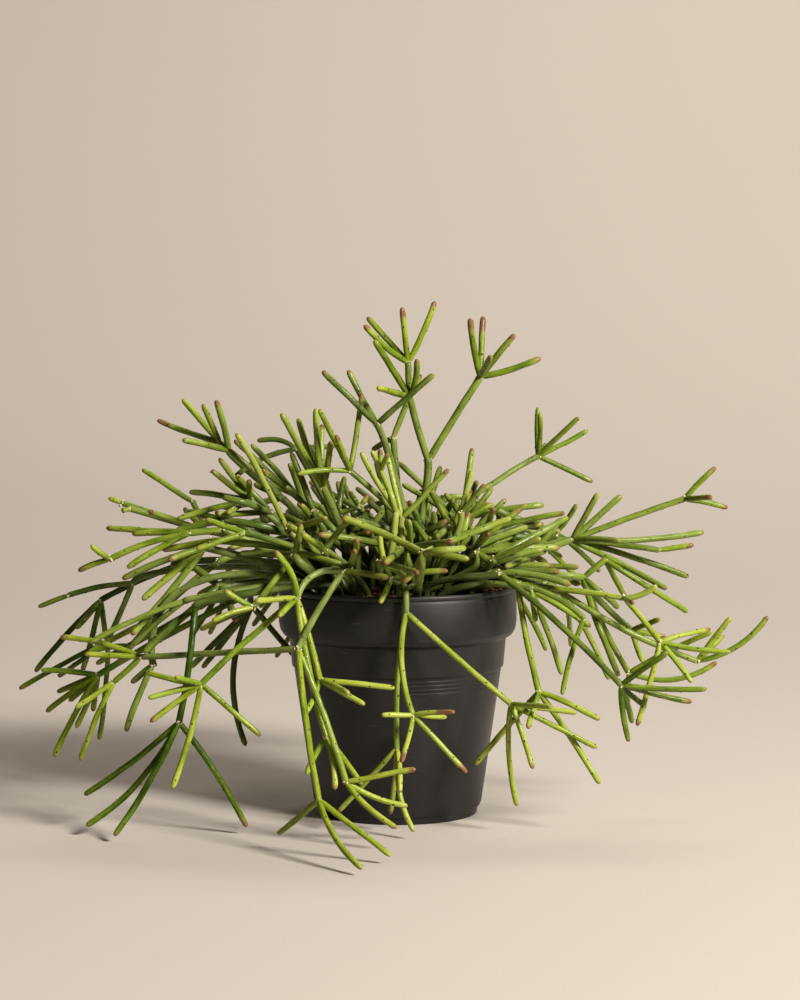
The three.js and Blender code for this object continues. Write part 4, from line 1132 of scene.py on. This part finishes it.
def wall_radius(height):
    """The tapering wall between the foot and the collar."""
    share = (height - FOOT_TOP) / (RIM_BOTTOM - FOOT_TOP)
    return FOOT_RADIUS + FOOT_STEP + (BODY_TOP_RADIUS - FOOT_RADIUS - FOOT_STEP) * share


def pot_outline():
    """Half the pot's section, from the middle of the underside round to the middle of the floor."""
    outline = [
        (0, 0), (PAD_RADIUS, 0), (PAD_RADIUS + 1, FOOT_RECESS), (FOOT_RADIUS - 4.4, FOOT_RECESS),
        (FOOT_RADIUS - 3.4, 0), (FOOT_RADIUS - 1.6, 0), (FOOT_RADIUS - 1.4, 3.0), (FOOT_RADIUS, FOOT_TOP),
        (wall_radius(6), 6),
    ]
    for height in GROOVE_HEIGHTS:
        outline += [
            (wall_radius(height), height),
            (wall_radius(height) - GROOVE_DEPTH, height + GROOVE_WIDTH / 3),
            (wall_radius(height) - GROOVE_DEPTH, height + GROOVE_WIDTH * 2 / 3),
            (wall_radius(height), height + GROOVE_WIDTH),
        ]
    return outline + [
        (wall_radius(BEAD_HEIGHT - 1.2), BEAD_HEIGHT - 1.2), (BEAD_RADIUS + 0.05, BEAD_HEIGHT - 0.6),
        (BEAD_RADIUS + 0.2, BEAD_HEIGHT + 1), (BODY_TOP_RADIUS, RIM_BOTTOM - 0.5),
        (BODY_TOP_RADIUS + 1.2, RIM_BOTTOM + 0.2), (RIM_RADIUS - 2.2, RIM_BOTTOM + 1.4),
        (RIM_RADIUS - 0.7, RIM_BOTTOM + 3.8), (RIM_RADIUS, RIM_BOTTOM + 7.5),
        (RIM_RADIUS, POT_HEIGHT - 3.4), (RIM_RADIUS - LIP_GROOVE, POT_HEIGHT - 3.0),
        (RIM_RADIUS - LIP_GROOVE, POT_HEIGHT - 2.6), (RIM_RADIUS, POT_HEIGHT - 2.1),
        (RIM_RADIUS, POT_HEIGHT - 0.7), (RIM_RADIUS - 0.5, POT_HEIGHT - 0.1),
        (MOUTH_RADIUS + 0.5, POT_HEIGHT), (MOUTH_RADIUS, POT_HEIGHT - 0.6),
        (MOUTH_RADIUS, RIM_BOTTOM + 8), (BODY_TOP_RADIUS - POT_WALL, RIM_BOTTOM + 1),
        (FOOT_RADIUS - POT_WALL, FLOOR_TOP), (0, FLOOR_TOP),
    ]


def soften_rings(mesh):
    """Rounds the rings where the section turns sharply."""
    sharp = [
        edge for edge in mesh.edges
        if abs(edge.verts[0].co.z - edge.verts[1].co.z) < LEVEL and edge.is_manifold
        and edge.calc_face_angle(0) > SOFTEN_FROM and edge.verts[0].co.xy.length > 1
        and abs(edge.verts[0].co.xy.length - edge.verts[1].co.xy.length) < LEVEL
    ]
    bmesh.ops.bevel(
        mesh, geom=sharp, offset=SOFT_EDGE, affect="EDGES", segments=2, profile=0.5, material=-1,
        clamp_overlap=True,
    )


def drain_drill():
    """Six short rods through the floor, where the drainage holes are."""
    drill = bmesh.new()
    for hole in range(DRAIN_COUNT):
        turn = (hole + 0.5) / DRAIN_COUNT * math.tau
        bmesh.ops.create_cone(
            drill, cap_ends=True, segments=DRAIN_SIDES, radius1=DRAIN_RADIUS, radius2=DRAIN_RADIUS,
            depth=DRILL_LENGTH, matrix=Matrix.Translation(around(turn, DRAIN_CIRCLE, DRILL_MIDDLE)),
        )
    bmesh.ops.scale(drill, vec=(MM, MM, MM), verts=drill.verts)
    return add_object("drill", mesh_of("drill", drill))


def cut_with(piece, drill):
    """Cuts the drill's shape out of the piece, and does away with the drill."""
    cut = piece.modifiers.new("cut", "BOOLEAN")
    cut.operation, cut.solver, cut.object = "DIFFERENCE", "EXACT", drill
    bpy.context.view_layer.update()
    shaped = bpy.data.meshes.new_from_object(piece.evaluated_get(bpy.context.evaluated_depsgraph_get()))
    piece.modifiers.clear()
    piece.data = shaped
    bpy.data.objects.remove(drill)


def make_pot(plastic):
    """The moulded pot, with its floor drilled and only its hard corners sharp."""
    mesh = spun(pot_outline(), POT_SEGMENTS)
    soften_rings(mesh)
    pot = piece_from("nursery_pot", mesh, [plastic], ["pot"], smooth=False)
    cut_with(pot, drain_drill())
    pot.data.shade_smooth()
    pot.data.set_sharp_from_angle(angle=SHARP_FROM)


# ---- Soil ---------------------------------------------------------------------------------------
SOIL_SEED = 411
SOIL_SEGMENTS = 220
SOIL_RINGS = 52
SOIL_GAP = 0.45
LUMP_SIZE = 5.5
LUMP_RISE = 0.9
LUMP_LAYER = 1
GRAIN_SIZE = 1.9
GRAIN_RISE = 0.8
GRAIN_LAYER = 5
CRUMB_COUNT = 1500
CRUMB_SIZES = (0.35, 2.0)
CRUMB_MARGIN = 0.6
CRUMB_SMALLNESS = 2.5
CRUMB_SEAT = 0.15
GRIT_SEED = SOIL_SEED + 1
GRIT_COUNT = 34
GRIT_SIZES = (0.35, 1.1)
FIBRE_SEED = SOIL_SEED + 3
FIBRE_COUNT = 170
FIBRE_SIDES = 4
FIBRE_RINGS = 6
FIBRE_RADII = (0.07, 0.17)
FIBRE_MARGIN = 8
FIBRE_CLEAR = 0.25


def soil_height(x, y):
    """The crumbled surface, which falls a little from the middle to the pot's wall."""
    away = min(1, math.hypot(x, y) / MOUTH_RADIUS)
    bed = SOIL_CROWN - (SOIL_CROWN - SOIL_EDGE) * away * away
    lumps = smooth_noise(x / LUMP_SIZE, y / LUMP_SIZE, LUMP_LAYER) * LUMP_RISE
    grains = smooth_noise(x / GRAIN_SIZE, y / GRAIN_SIZE, GRAIN_LAYER) * GRAIN_RISE
    return bed + lumps + grains


def make_soil(peat):
    """The plug of peat that fills the pot, with a crumbled top."""
    inside = MOUTH_RADIUS - SOIL_GAP
    base = FLOOR_TOP + SOIL_GAP
    radius = FOOT_RADIUS - POT_WALL - SOIL_GAP
    rings = [
        (BODY_TOP_RADIUS - POT_WALL - SOIL_GAP, RIM_BOTTOM + 1), (inside, RIM_BOTTOM + 8), (inside, None),
    ]
    rings += [(inside * ring / SOIL_RINGS, None) for ring in range(SOIL_RINGS - 1, 0, -1)]
    mesh = bmesh.new()
    bmesh.ops.create_circle(mesh, cap_ends=True, segments=SOIL_SEGMENTS, radius=radius)
    bmesh.ops.translate(mesh, verts=mesh.verts, vec=UP * base)
    edges = mesh.edges[:]
    for wide, height in rings:
        edges, verts = extruded(mesh, edges)
        for vert in verts:
            vert.co.xy *= wide / radius
            vert.co.z = soil_height(*vert.co.xy) if height is None else height
        radius = wide
    bmesh.ops.edgenet_fill(mesh, edges=edges)
    bmesh.ops.recalc_face_normals(mesh, faces=mesh.faces)
    piece_from("peat", mesh, [peat], ["soil"])


def scattered(count, draw, margin):
    """Places strewn evenly over the soil, as x, y and the height there."""
    for _ in range(count):
        reach = (MOUTH_RADIUS - margin) * math.sqrt(draw(0, 1))
        turn = draw(0, math.tau)
        x, y = reach * math.cos(turn), reach * math.sin(turn)
        yield x, y, soil_height(x, y)


def make_crumbs(name, count, sizes, seed, material):
    """Loose lumps, each an uneven small body pressed into the surface."""
    draw = seeded_draws(seed)
    least, most = sizes
    blank = grain_blank()
    shape = corners(blank)
    mesh = bmesh.new()
    places = []
    for x, y, z in scattered(count, draw, most + CRUMB_MARGIN):
        mesh.from_mesh(blank)
        size = least + (most - least) * draw(0, 1) ** CRUMB_SMALLNESS
        stretch = np.array((draw(0.6, 1.3), draw(0.6, 1.3), draw(0.45, 0.9)))
        turn = Matrix.Rotation(draw(0, math.tau), 3, "Z")
        turn = np.array(turn @ Matrix.Rotation(draw(-0.7, 0.7), 3, "X"))
        uneven = 1 + 0.5 * np.array([draw(-0.5, 0.5) for _ in shape])[:, None]
        places.append((shape * uneven * size * stretch) @ turn.T + (x, y, z + size * CRUMB_SEAT))
    move_verts(mesh, np.concatenate(places))
    piece_from(name, mesh, [material], smooth=False)


def make_fibres(material):
    """Thin coir threads, curved and lying on the soil."""
    draw = seeded_draws(FIBRE_SEED)
    tube = Tube(FIBRE_SIDES, FIBRE_RINGS)
    count = FIBRE_RINGS + 2
    steps = np.linspace(-0.5, 0.5, count)
    widths = np.array([0, *[1] * FIBRE_RINGS, 0])
    mesh = bmesh.new()
    places = []
    for x, y, z in scattered(FIBRE_COUNT, draw, FIBRE_MARGIN):
        mesh.from_mesh(tube.mesh)
        turn, bend, length, rise = draw(0, math.tau), draw(-0.9, 0.9), draw(3, 11), draw(-0.4, 1.6)
        radius = draw(*FIBRE_RADII)
        heading = turn + bend * steps * 2
        line = np.column_stack((np.cos(heading), np.sin(heading), np.zeros(count))) * length / count
        line = np.cumsum(line, axis=0) + (x, y, z + FIBRE_CLEAR)
        line[:, 2] += rise * (0.25 - steps**2) * 4
        places.append(tube.bent(line, radius * widths)[0])
    move_verts(mesh, np.concatenate(places))
    piece_from("coir_threads", mesh, [material])


# ---- Finishes -----------------------------------------------------------------------------------
# The middle of a cloud's values, where most of them lie.
CLOUD_LOW = 0.3
CLOUD_HIGH = 0.7
# Where the skin's marks end, in millimetres from a shoot's tip or base.
TIP_BRIGHTENING = 24
PALING_LENGTH = 5.0
BROWN_EDGE = (-1.5, 1.8)
CORK_EDGE = (0.5, 1.5)
# Painted shade where the stems crowd above the soil in the pot's middle: the stems are painted darkest below
# and within the first of these, in metres.
PAINTED_SHADE_HEIGHTS = (0.112, 0.146)
PAINTED_SHADE_REACHES = (0.05, 0.07)
GREENS = ((0.0, "233604"), (0.25, "41560a"), (0.5, "637412"), (0.75, "818e28"), (1.0, "9ba544"))


def paint(code):
    """A screen colour such as 4a6b2c as the linear colour that a shader takes."""
    parts = [int(code[at:at + 2], 16) / 255 for at in (0, 2, 4)]
    linear = [part / 12.92 if part <= 0.04045 else ((part + 0.055) / 1.055) ** 2.4 for part in parts]
    return (*linear, 1.0)


# A Mix node's sockets for colours come after those for numbers and vectors.
MIX_COLORS = (6, 7)
MIX_RESULT = 2


class Finish:
    """A material being built: each call adds a node or a few, and gives their output."""

    def __init__(self, name):
        self.material = bpy.data.materials.new(name)
        self.material.use_nodes = True
        self.tree = self.material.node_tree
        self.shader = self.tree.nodes["Principled BSDF"]

    def node(self, kind, output=0, inputs=None, **settings):
        """Adds a node with those settings, plugs its inputs in, and gives one output."""
        node = self.tree.nodes.new(kind)
        for key, value in settings.items():
            setattr(node, key, value)
        for key, value in (inputs or {}).items():
            self.plug(node.inputs[key], value)
        return node.outputs[output]

    def plug(self, socket, value):
        if isinstance(value, bpy.types.NodeSocket):
            self.tree.links.new(value, socket)
        else:
            socket.default_value = value

    def attribute(self, name):
        return self.node("ShaderNodeAttribute", "Vector", attribute_name=name)

    def split(self, vector):
        return self.node("ShaderNodeSeparateXYZ", inputs={0: vector}).node.outputs

    def place(self):
        return self.node("ShaderNodeTexCoord", "Object")

    def stretched(self, vector, scale):
        return self.node("ShaderNodeMapping", inputs={"Vector": vector, "Scale": scale})

    def cloud(self, vector, scale, detail=2.0, roughness=0.5):
        inputs = {"Vector": vector, "Scale": scale, "Detail": detail, "Roughness": roughness}
        return self.node("ShaderNodeTexNoise", "Fac", inputs)

    def reckon(self, operation, one, two):
        return self.node("ShaderNodeMath", 0, {0: one, 1: two}, operation=operation)

    def sum(self, one, two):
        return self.reckon("ADD", one, two)

    def product(self, one, two):
        return self.reckon("MULTIPLY", one, two)

    def span(self, value, low, high, start=0.0, end=1.0, kind="SMOOTHSTEP"):
        """Turns the values between low and high into those between start and end."""
        inputs = {"Value": value, "From Min": low, "From Max": high, "To Min": start, "To Max": end}
        return self.node("ShaderNodeMapRange", "Result", inputs, interpolation_type=kind)

    def swing(self, cloud, start, end):
        """Spreads a cloud evenly from start to end."""
        return self.span(cloud, CLOUD_LOW, CLOUD_HIGH, start, end, "LINEAR")

    def ramp(self, value, stops):
        color = self.node("ShaderNodeValToRGB", "Color", {0: value})
        elements = color.node.color_ramp.elements
        while len(elements) < len(stops):
            elements.new(0.5)
        for element, (position, code) in zip(elements, stops):
            element.position, element.color = position, paint(code)
        return color

    def mix(self, share, one, two):
        """Mixes two colours, each a code or a socket."""
        colors = [paint(value) if isinstance(value, str) else value for value in (one, two)]
        inputs = {0: share, **dict(zip(MIX_COLORS, colors))}
        return self.node("ShaderNodeMix", MIX_RESULT, inputs, data_type="RGBA")

    def bump(self, height, depth):
        """Relief of that depth in millimetres."""
        inputs = {"Height": height, "Distance": depth * MM, "Strength": 1.0}
        return self.node("ShaderNodeBump", "Normal", inputs)

    def shade(self, **values):
        """Sets the shader's own sockets; an underscore in a name stands for a space."""
        for name, value in values.items():
            self.plug(self.shader.inputs[name.replace("_", " ")], value)
        return self.material


def skin_finish():
    """Smooth waxy skin: green by tone, greyer with age, brown at the tips and corky at the joints, with
    painted shade where the stems crowd just above the soil.
    """
    skin = Finish("stem_skin")
    unbent, growth, ends = (skin.attribute(name) for name in SKIN_VALUES)
    tone, bloom, fresh = skin.split(growth)
    from_base, to_tip, brown = skin.split(ends)

    patches = skin.cloud(skin.stretched(unbent, (0.3, 0.3, 0.09)), 1.0, 3.0)
    streaks = skin.cloud(skin.stretched(unbent, (1.9, 1.9, 0.12)), 1.0, 2.0)
    pores = skin.cloud(skin.stretched(unbent, (2.6, 2.6, 1.6)), 1.0, 1.0)
    varied = skin.sum(tone, skin.span(patches, 0.25, 0.75, -0.24, 0.24, "LINEAR"))
    varied = skin.sum(varied, skin.swing(streaks, -0.13, 0.13))
    varied = skin.sum(varied, skin.span(to_tip, 0, TIP_BRIGHTENING, 0.16, 0.0))
    varied = skin.sum(varied, skin.swing(pores, -0.1, 0.1))
    freshness = skin.span(fresh, 0.3, 1.0, 0.0, 0.55)
    green = skin.mix(freshness, skin.ramp(varied, GREENS), skin.mix(varied, "2b4405", "7b982e"))
    aged = skin.product(bloom, skin.span(patches, CLOUD_LOW, CLOUD_HIGH, 0.45, 1.0))
    green = skin.mix(skin.product(aged, 0.66), green, "788246")
    specks = skin.span(pores, 0.72, 0.8)
    green = skin.mix(skin.product(specks, 0.5), green, "2c3f14")

    past_brown = skin.reckon("SUBTRACT", skin.sum(to_tip, skin.swing(patches, -1.2, 1.2)), brown)
    paling = skin.span(past_brown, 0.0, PALING_LENGTH, 1.0, 0.0)
    green = skin.mix(skin.product(paling, 0.3), green, "9e9a48")
    browning = skin.span(past_brown, *BROWN_EDGE, 1.0, 0.0)
    dry = skin.mix(skin.span(streaks, 0.35, 0.65), "8a5c42", "5c3b2a")
    green = skin.mix(skin.product(browning, 0.9), green, dry)

    cork = skin.span(skin.sum(from_base, skin.swing(pores, -0.5, 0.5)), *CORK_EDGE, 1.0, 0.0)
    green = skin.mix(skin.product(cork, 0.7), green, "c3b892")

    # Painted shade: the stems are painted near black where they crowd just above the soil in the middle of
    # the pot.
    flat = skin.stretched(skin.place(), (1, 1, 0))
    away = skin.node("ShaderNodeVectorMath", "Value", {0: flat}, operation="LENGTH")
    height = skin.split(skin.place())[2]
    painted_shade = skin.product(
        skin.span(height, *PAINTED_SHADE_HEIGHTS, 1.0, 0.0), skin.span(away, *PAINTED_SHADE_REACHES, 1.0, 0.0),
    )
    green = skin.mix(skin.product(painted_shade, 0.85), green, "12160a")

    relief = skin.sum(skin.product(streaks, 0.8), skin.product(pores, 0.3))
    return skin.shade(
        Base_Color=green, Roughness=skin.swing(patches, 0.16, 0.28), Specular_IOR_Level=0.13,
        Normal=skin.bump(relief, 0.22),
    )


def grained_finish(name, scale, detail, stops, roughness, depth=None):
    """A dry, plain material, coloured by its fine grain and rough by it if it has a depth."""
    finish = Finish(name)
    grain = finish.cloud(finish.place(), scale, detail)
    if depth:
        finish.shade(Normal=finish.bump(grain, depth))
    return finish.shade(Base_Color=finish.ramp(grain, stops), Roughness=roughness)


def areole_finish():
    return grained_finish("areole", 1400.0, 2.0, ((0.3, "19150a"), (0.7, "3c3219")), 0.8)


def cork_finish():
    stops = ((0.3, "8f7a56"), (0.5, "c4b692"), (0.7, "e0d7bd"))
    return grained_finish("joint_cork", 1100.0, 3.0, stops, 0.85, 0.15)


def coir_finish():
    return grained_finish("coir", 160.0, 2.0, ((0.35, "6b452c"), (0.65, "a97c54")), 0.8)


def grit_finish():
    return grained_finish("pale_grit", 700.0, 3.0, ((0.35, "b9a88c"), (0.65, "e5dccb")), 0.9, 0.3)


def plastic_finish():
    """Matte black moulded plastic, a little dusty, with faint scuffs."""
    plastic = Finish("black_plastic")
    place = plastic.place()
    dust = plastic.cloud(place, 28.0, 4.0)
    grain = plastic.cloud(place, 2600.0, 2.0)
    scuffs = plastic.cloud(plastic.stretched(place, (60, 60, 900)), 1.0, 3.0)
    marks = plastic.span(scuffs, 0.66, 0.72)
    color = plastic.mix(plastic.span(dust, 0.35, 0.75, 0.0, 0.35), "131211", "1f1d1a")
    relief = plastic.sum(grain, plastic.product(scuffs, 0.5))
    return plastic.shade(
        Base_Color=plastic.mix(plastic.product(marks, 0.25), color, "4a4540"),
        Roughness=plastic.swing(dust, 0.36, 0.48), Specular_IOR_Level=0.4,
        Normal=plastic.bump(relief, 0.05),
    )


def peat_finish(name, dark, light, scale):
    """Crumbly brown peat with pale flecks, mottled by its lumps; as the colour follows the relief, its
    hollows are painted darker as shade.
    """
    peat = Finish(name)
    place = peat.place()
    lumps = peat.cloud(place, scale, 5.0, 0.65)
    flecks = peat.cloud(place, scale * 6, 2.0)
    # Painted shade: the dark end of the ramp falls in the relief's hollows, as well as giving the peat its
    # mottled tone.
    color = peat.ramp(lumps, ((0.3, dark), (0.62, light)))
    color = peat.mix(peat.span(flecks, 0.62, 0.7, 0.0, 0.6), color, "8a5f42")
    relief = peat.sum(lumps, peat.product(flecks, 0.4))
    return peat.shade(
        Base_Color=color, Roughness=0.95, Normal=peat.bump(relief, 0.6), Specular_IOR_Level=0.15,
    )


# ---- Stage, light and camera, in metres ---------------------------------------------------------
BOWL_FLOOR = 2.0
BOWL_CURVE = 2.2
BOWL_TOP = 3.6
BOWL_CURVE_STEPS = 32
BOWL_SIDES = 120

# Each lamp: name, place, what it shines at, size, watts, and how many degrees it spreads.
LAMPS = (
    ("key", (1.55, -1.5, 1.35), (0, 0, 0.1), 0.6, 67, 130),
    ("wall_wash", (0.8, 1.9, 2.8), (0.6, 3.4, 0.3), 1.6, 90, 180),
)
LAMP_COLOR = "fffaf5"
ROOM_COLOR = "f0c898"
ROOM_STRENGTH = 0.02


def backdrop_finish():
    paper = Finish("backdrop_paper")
    place = paper.place()
    weave = paper.cloud(paper.stretched(place, (500, 900, 900)), 1.0, 2.0)
    color = paper.mix(paper.swing(paper.cloud(place, 1.1, 2.0), 0.0, 0.25), "b9b1a6", "b5aca0")
    return paper.shade(
        Base_Color=color, Roughness=0.95, Specular_IOR_Level=0.1, Normal=paper.bump(weave, 0.08),
    )


def make_backdrop():
    """A floor of pale paper that sweeps up to a round wall, so that every side has a plain ground."""
    line = [(0.0, 0.0)]
    for step in range(BOWL_CURVE_STEPS + 1):
        turn = math.pi / 2 * step / BOWL_CURVE_STEPS
        line.append((BOWL_FLOOR + BOWL_CURVE * math.sin(turn), BOWL_CURVE * (1 - math.cos(turn))))
    line.append((BOWL_FLOOR + BOWL_CURVE, BOWL_TOP))
    data = mesh_of("backdrop", spun(line, BOWL_SIDES))
    if data.polygons[0].normal.z < 0:
        data.flip_normals()
    data.shade_smooth()
    data.materials.append(backdrop_finish())
    backdrop = add_object("backdrop", data)
    backdrop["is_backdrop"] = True


def aim(thing, place, target):
    """Stands a lamp or a camera at a place, looking at a target."""
    thing.location = place
    thing.rotation_euler = (Vector(target) - Vector(place)).to_track_quat("-Z", "Y").to_euler()


def light_stage():
    for name, place, target, size, power, spread in LAMPS:
        data = bpy.data.lights.new(name, "AREA")
        data.shape, data.size, data.energy = "DISK", size, power
        data.color, data.spread = paint(LAMP_COLOR)[:3], math.radians(spread)
        aim(add_object(name, data), place, target)
    world = bpy.data.worlds.new("studio")
    world.use_nodes = True
    room = world.node_tree.nodes["Background"]
    room.inputs["Color"].default_value = paint(ROOM_COLOR)
    room.inputs["Strength"].default_value = ROOM_STRENGTH
    bpy.context.scene.world = world
    bpy.context.scene.view_settings.view_transform = "Standard"


def place_camera():
    """Stands where the drawing sheet's viewing point is, and looks at the sheet's centre."""
    eye, target = Vector(VIEW_POINT) * MM, Vector(SHEET_CENTRE) * MM
    data = bpy.data.cameras.new("camera")
    tall = 2 * SHEET_ROW * SHEET_GRID * MM
    data.lens = data.sensor_width * (target - eye).length / tall
    camera = add_object("camera", data)
    aim(camera, eye, target)
    bpy.context.scene.camera = camera


# ---- Assembly -----------------------------------------------------------------------------------
def grow_plant():
    """The plant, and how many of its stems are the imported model's.

    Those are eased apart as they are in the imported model, and then the others in between them.
    """
    stems = [drawn_stem(*row) for row in DRAWN_STEMS]
    stems += [back_stem(index) for index in range(BACK_COUNT)]
    packed = Plant(stems)
    ease_apart(packed, EASE_ROUNDS)
    more = [drawn_stem(*row, MORE_TOP) for row in MORE_STEMS]
    more += [inner_stem(index) for index in range(INNER_COUNT)]
    more += [core_stem(index) for index in range(CORE_COUNT)]
    plant = Plant(more, packed)
    ease_apart(plant, MORE_ROUNDS)
    plant.prune()
    return plant, len(stems)


def main():
    place_camera()
    light_stage()
    make_backdrop()
    make_pot(plastic_finish())
    make_soil(peat_finish("peat", "140d09", "36241a", 420.0))
    crumb = peat_finish("crumb", "1a110c", "4d3527", 700.0)
    make_crumbs("peat_crumbs", CRUMB_COUNT, CRUMB_SIZES, SOIL_SEED, crumb)
    make_crumbs("pale_grit", GRIT_COUNT, GRIT_SIZES, GRIT_SEED, grit_finish())
    make_fibres(coir_finish())
    plant, packed = grow_plant()
    maker = StemMaker(plant, [skin_finish(), areole_finish(), cork_finish()])
    for number in np.unique(plant.stem):
        maker.make(number, number < packed)


main()
boxes = {"cad": cad_box, "visual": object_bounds()}
{name: [list(corner) for corner in box] for name, box in boxes.items()}
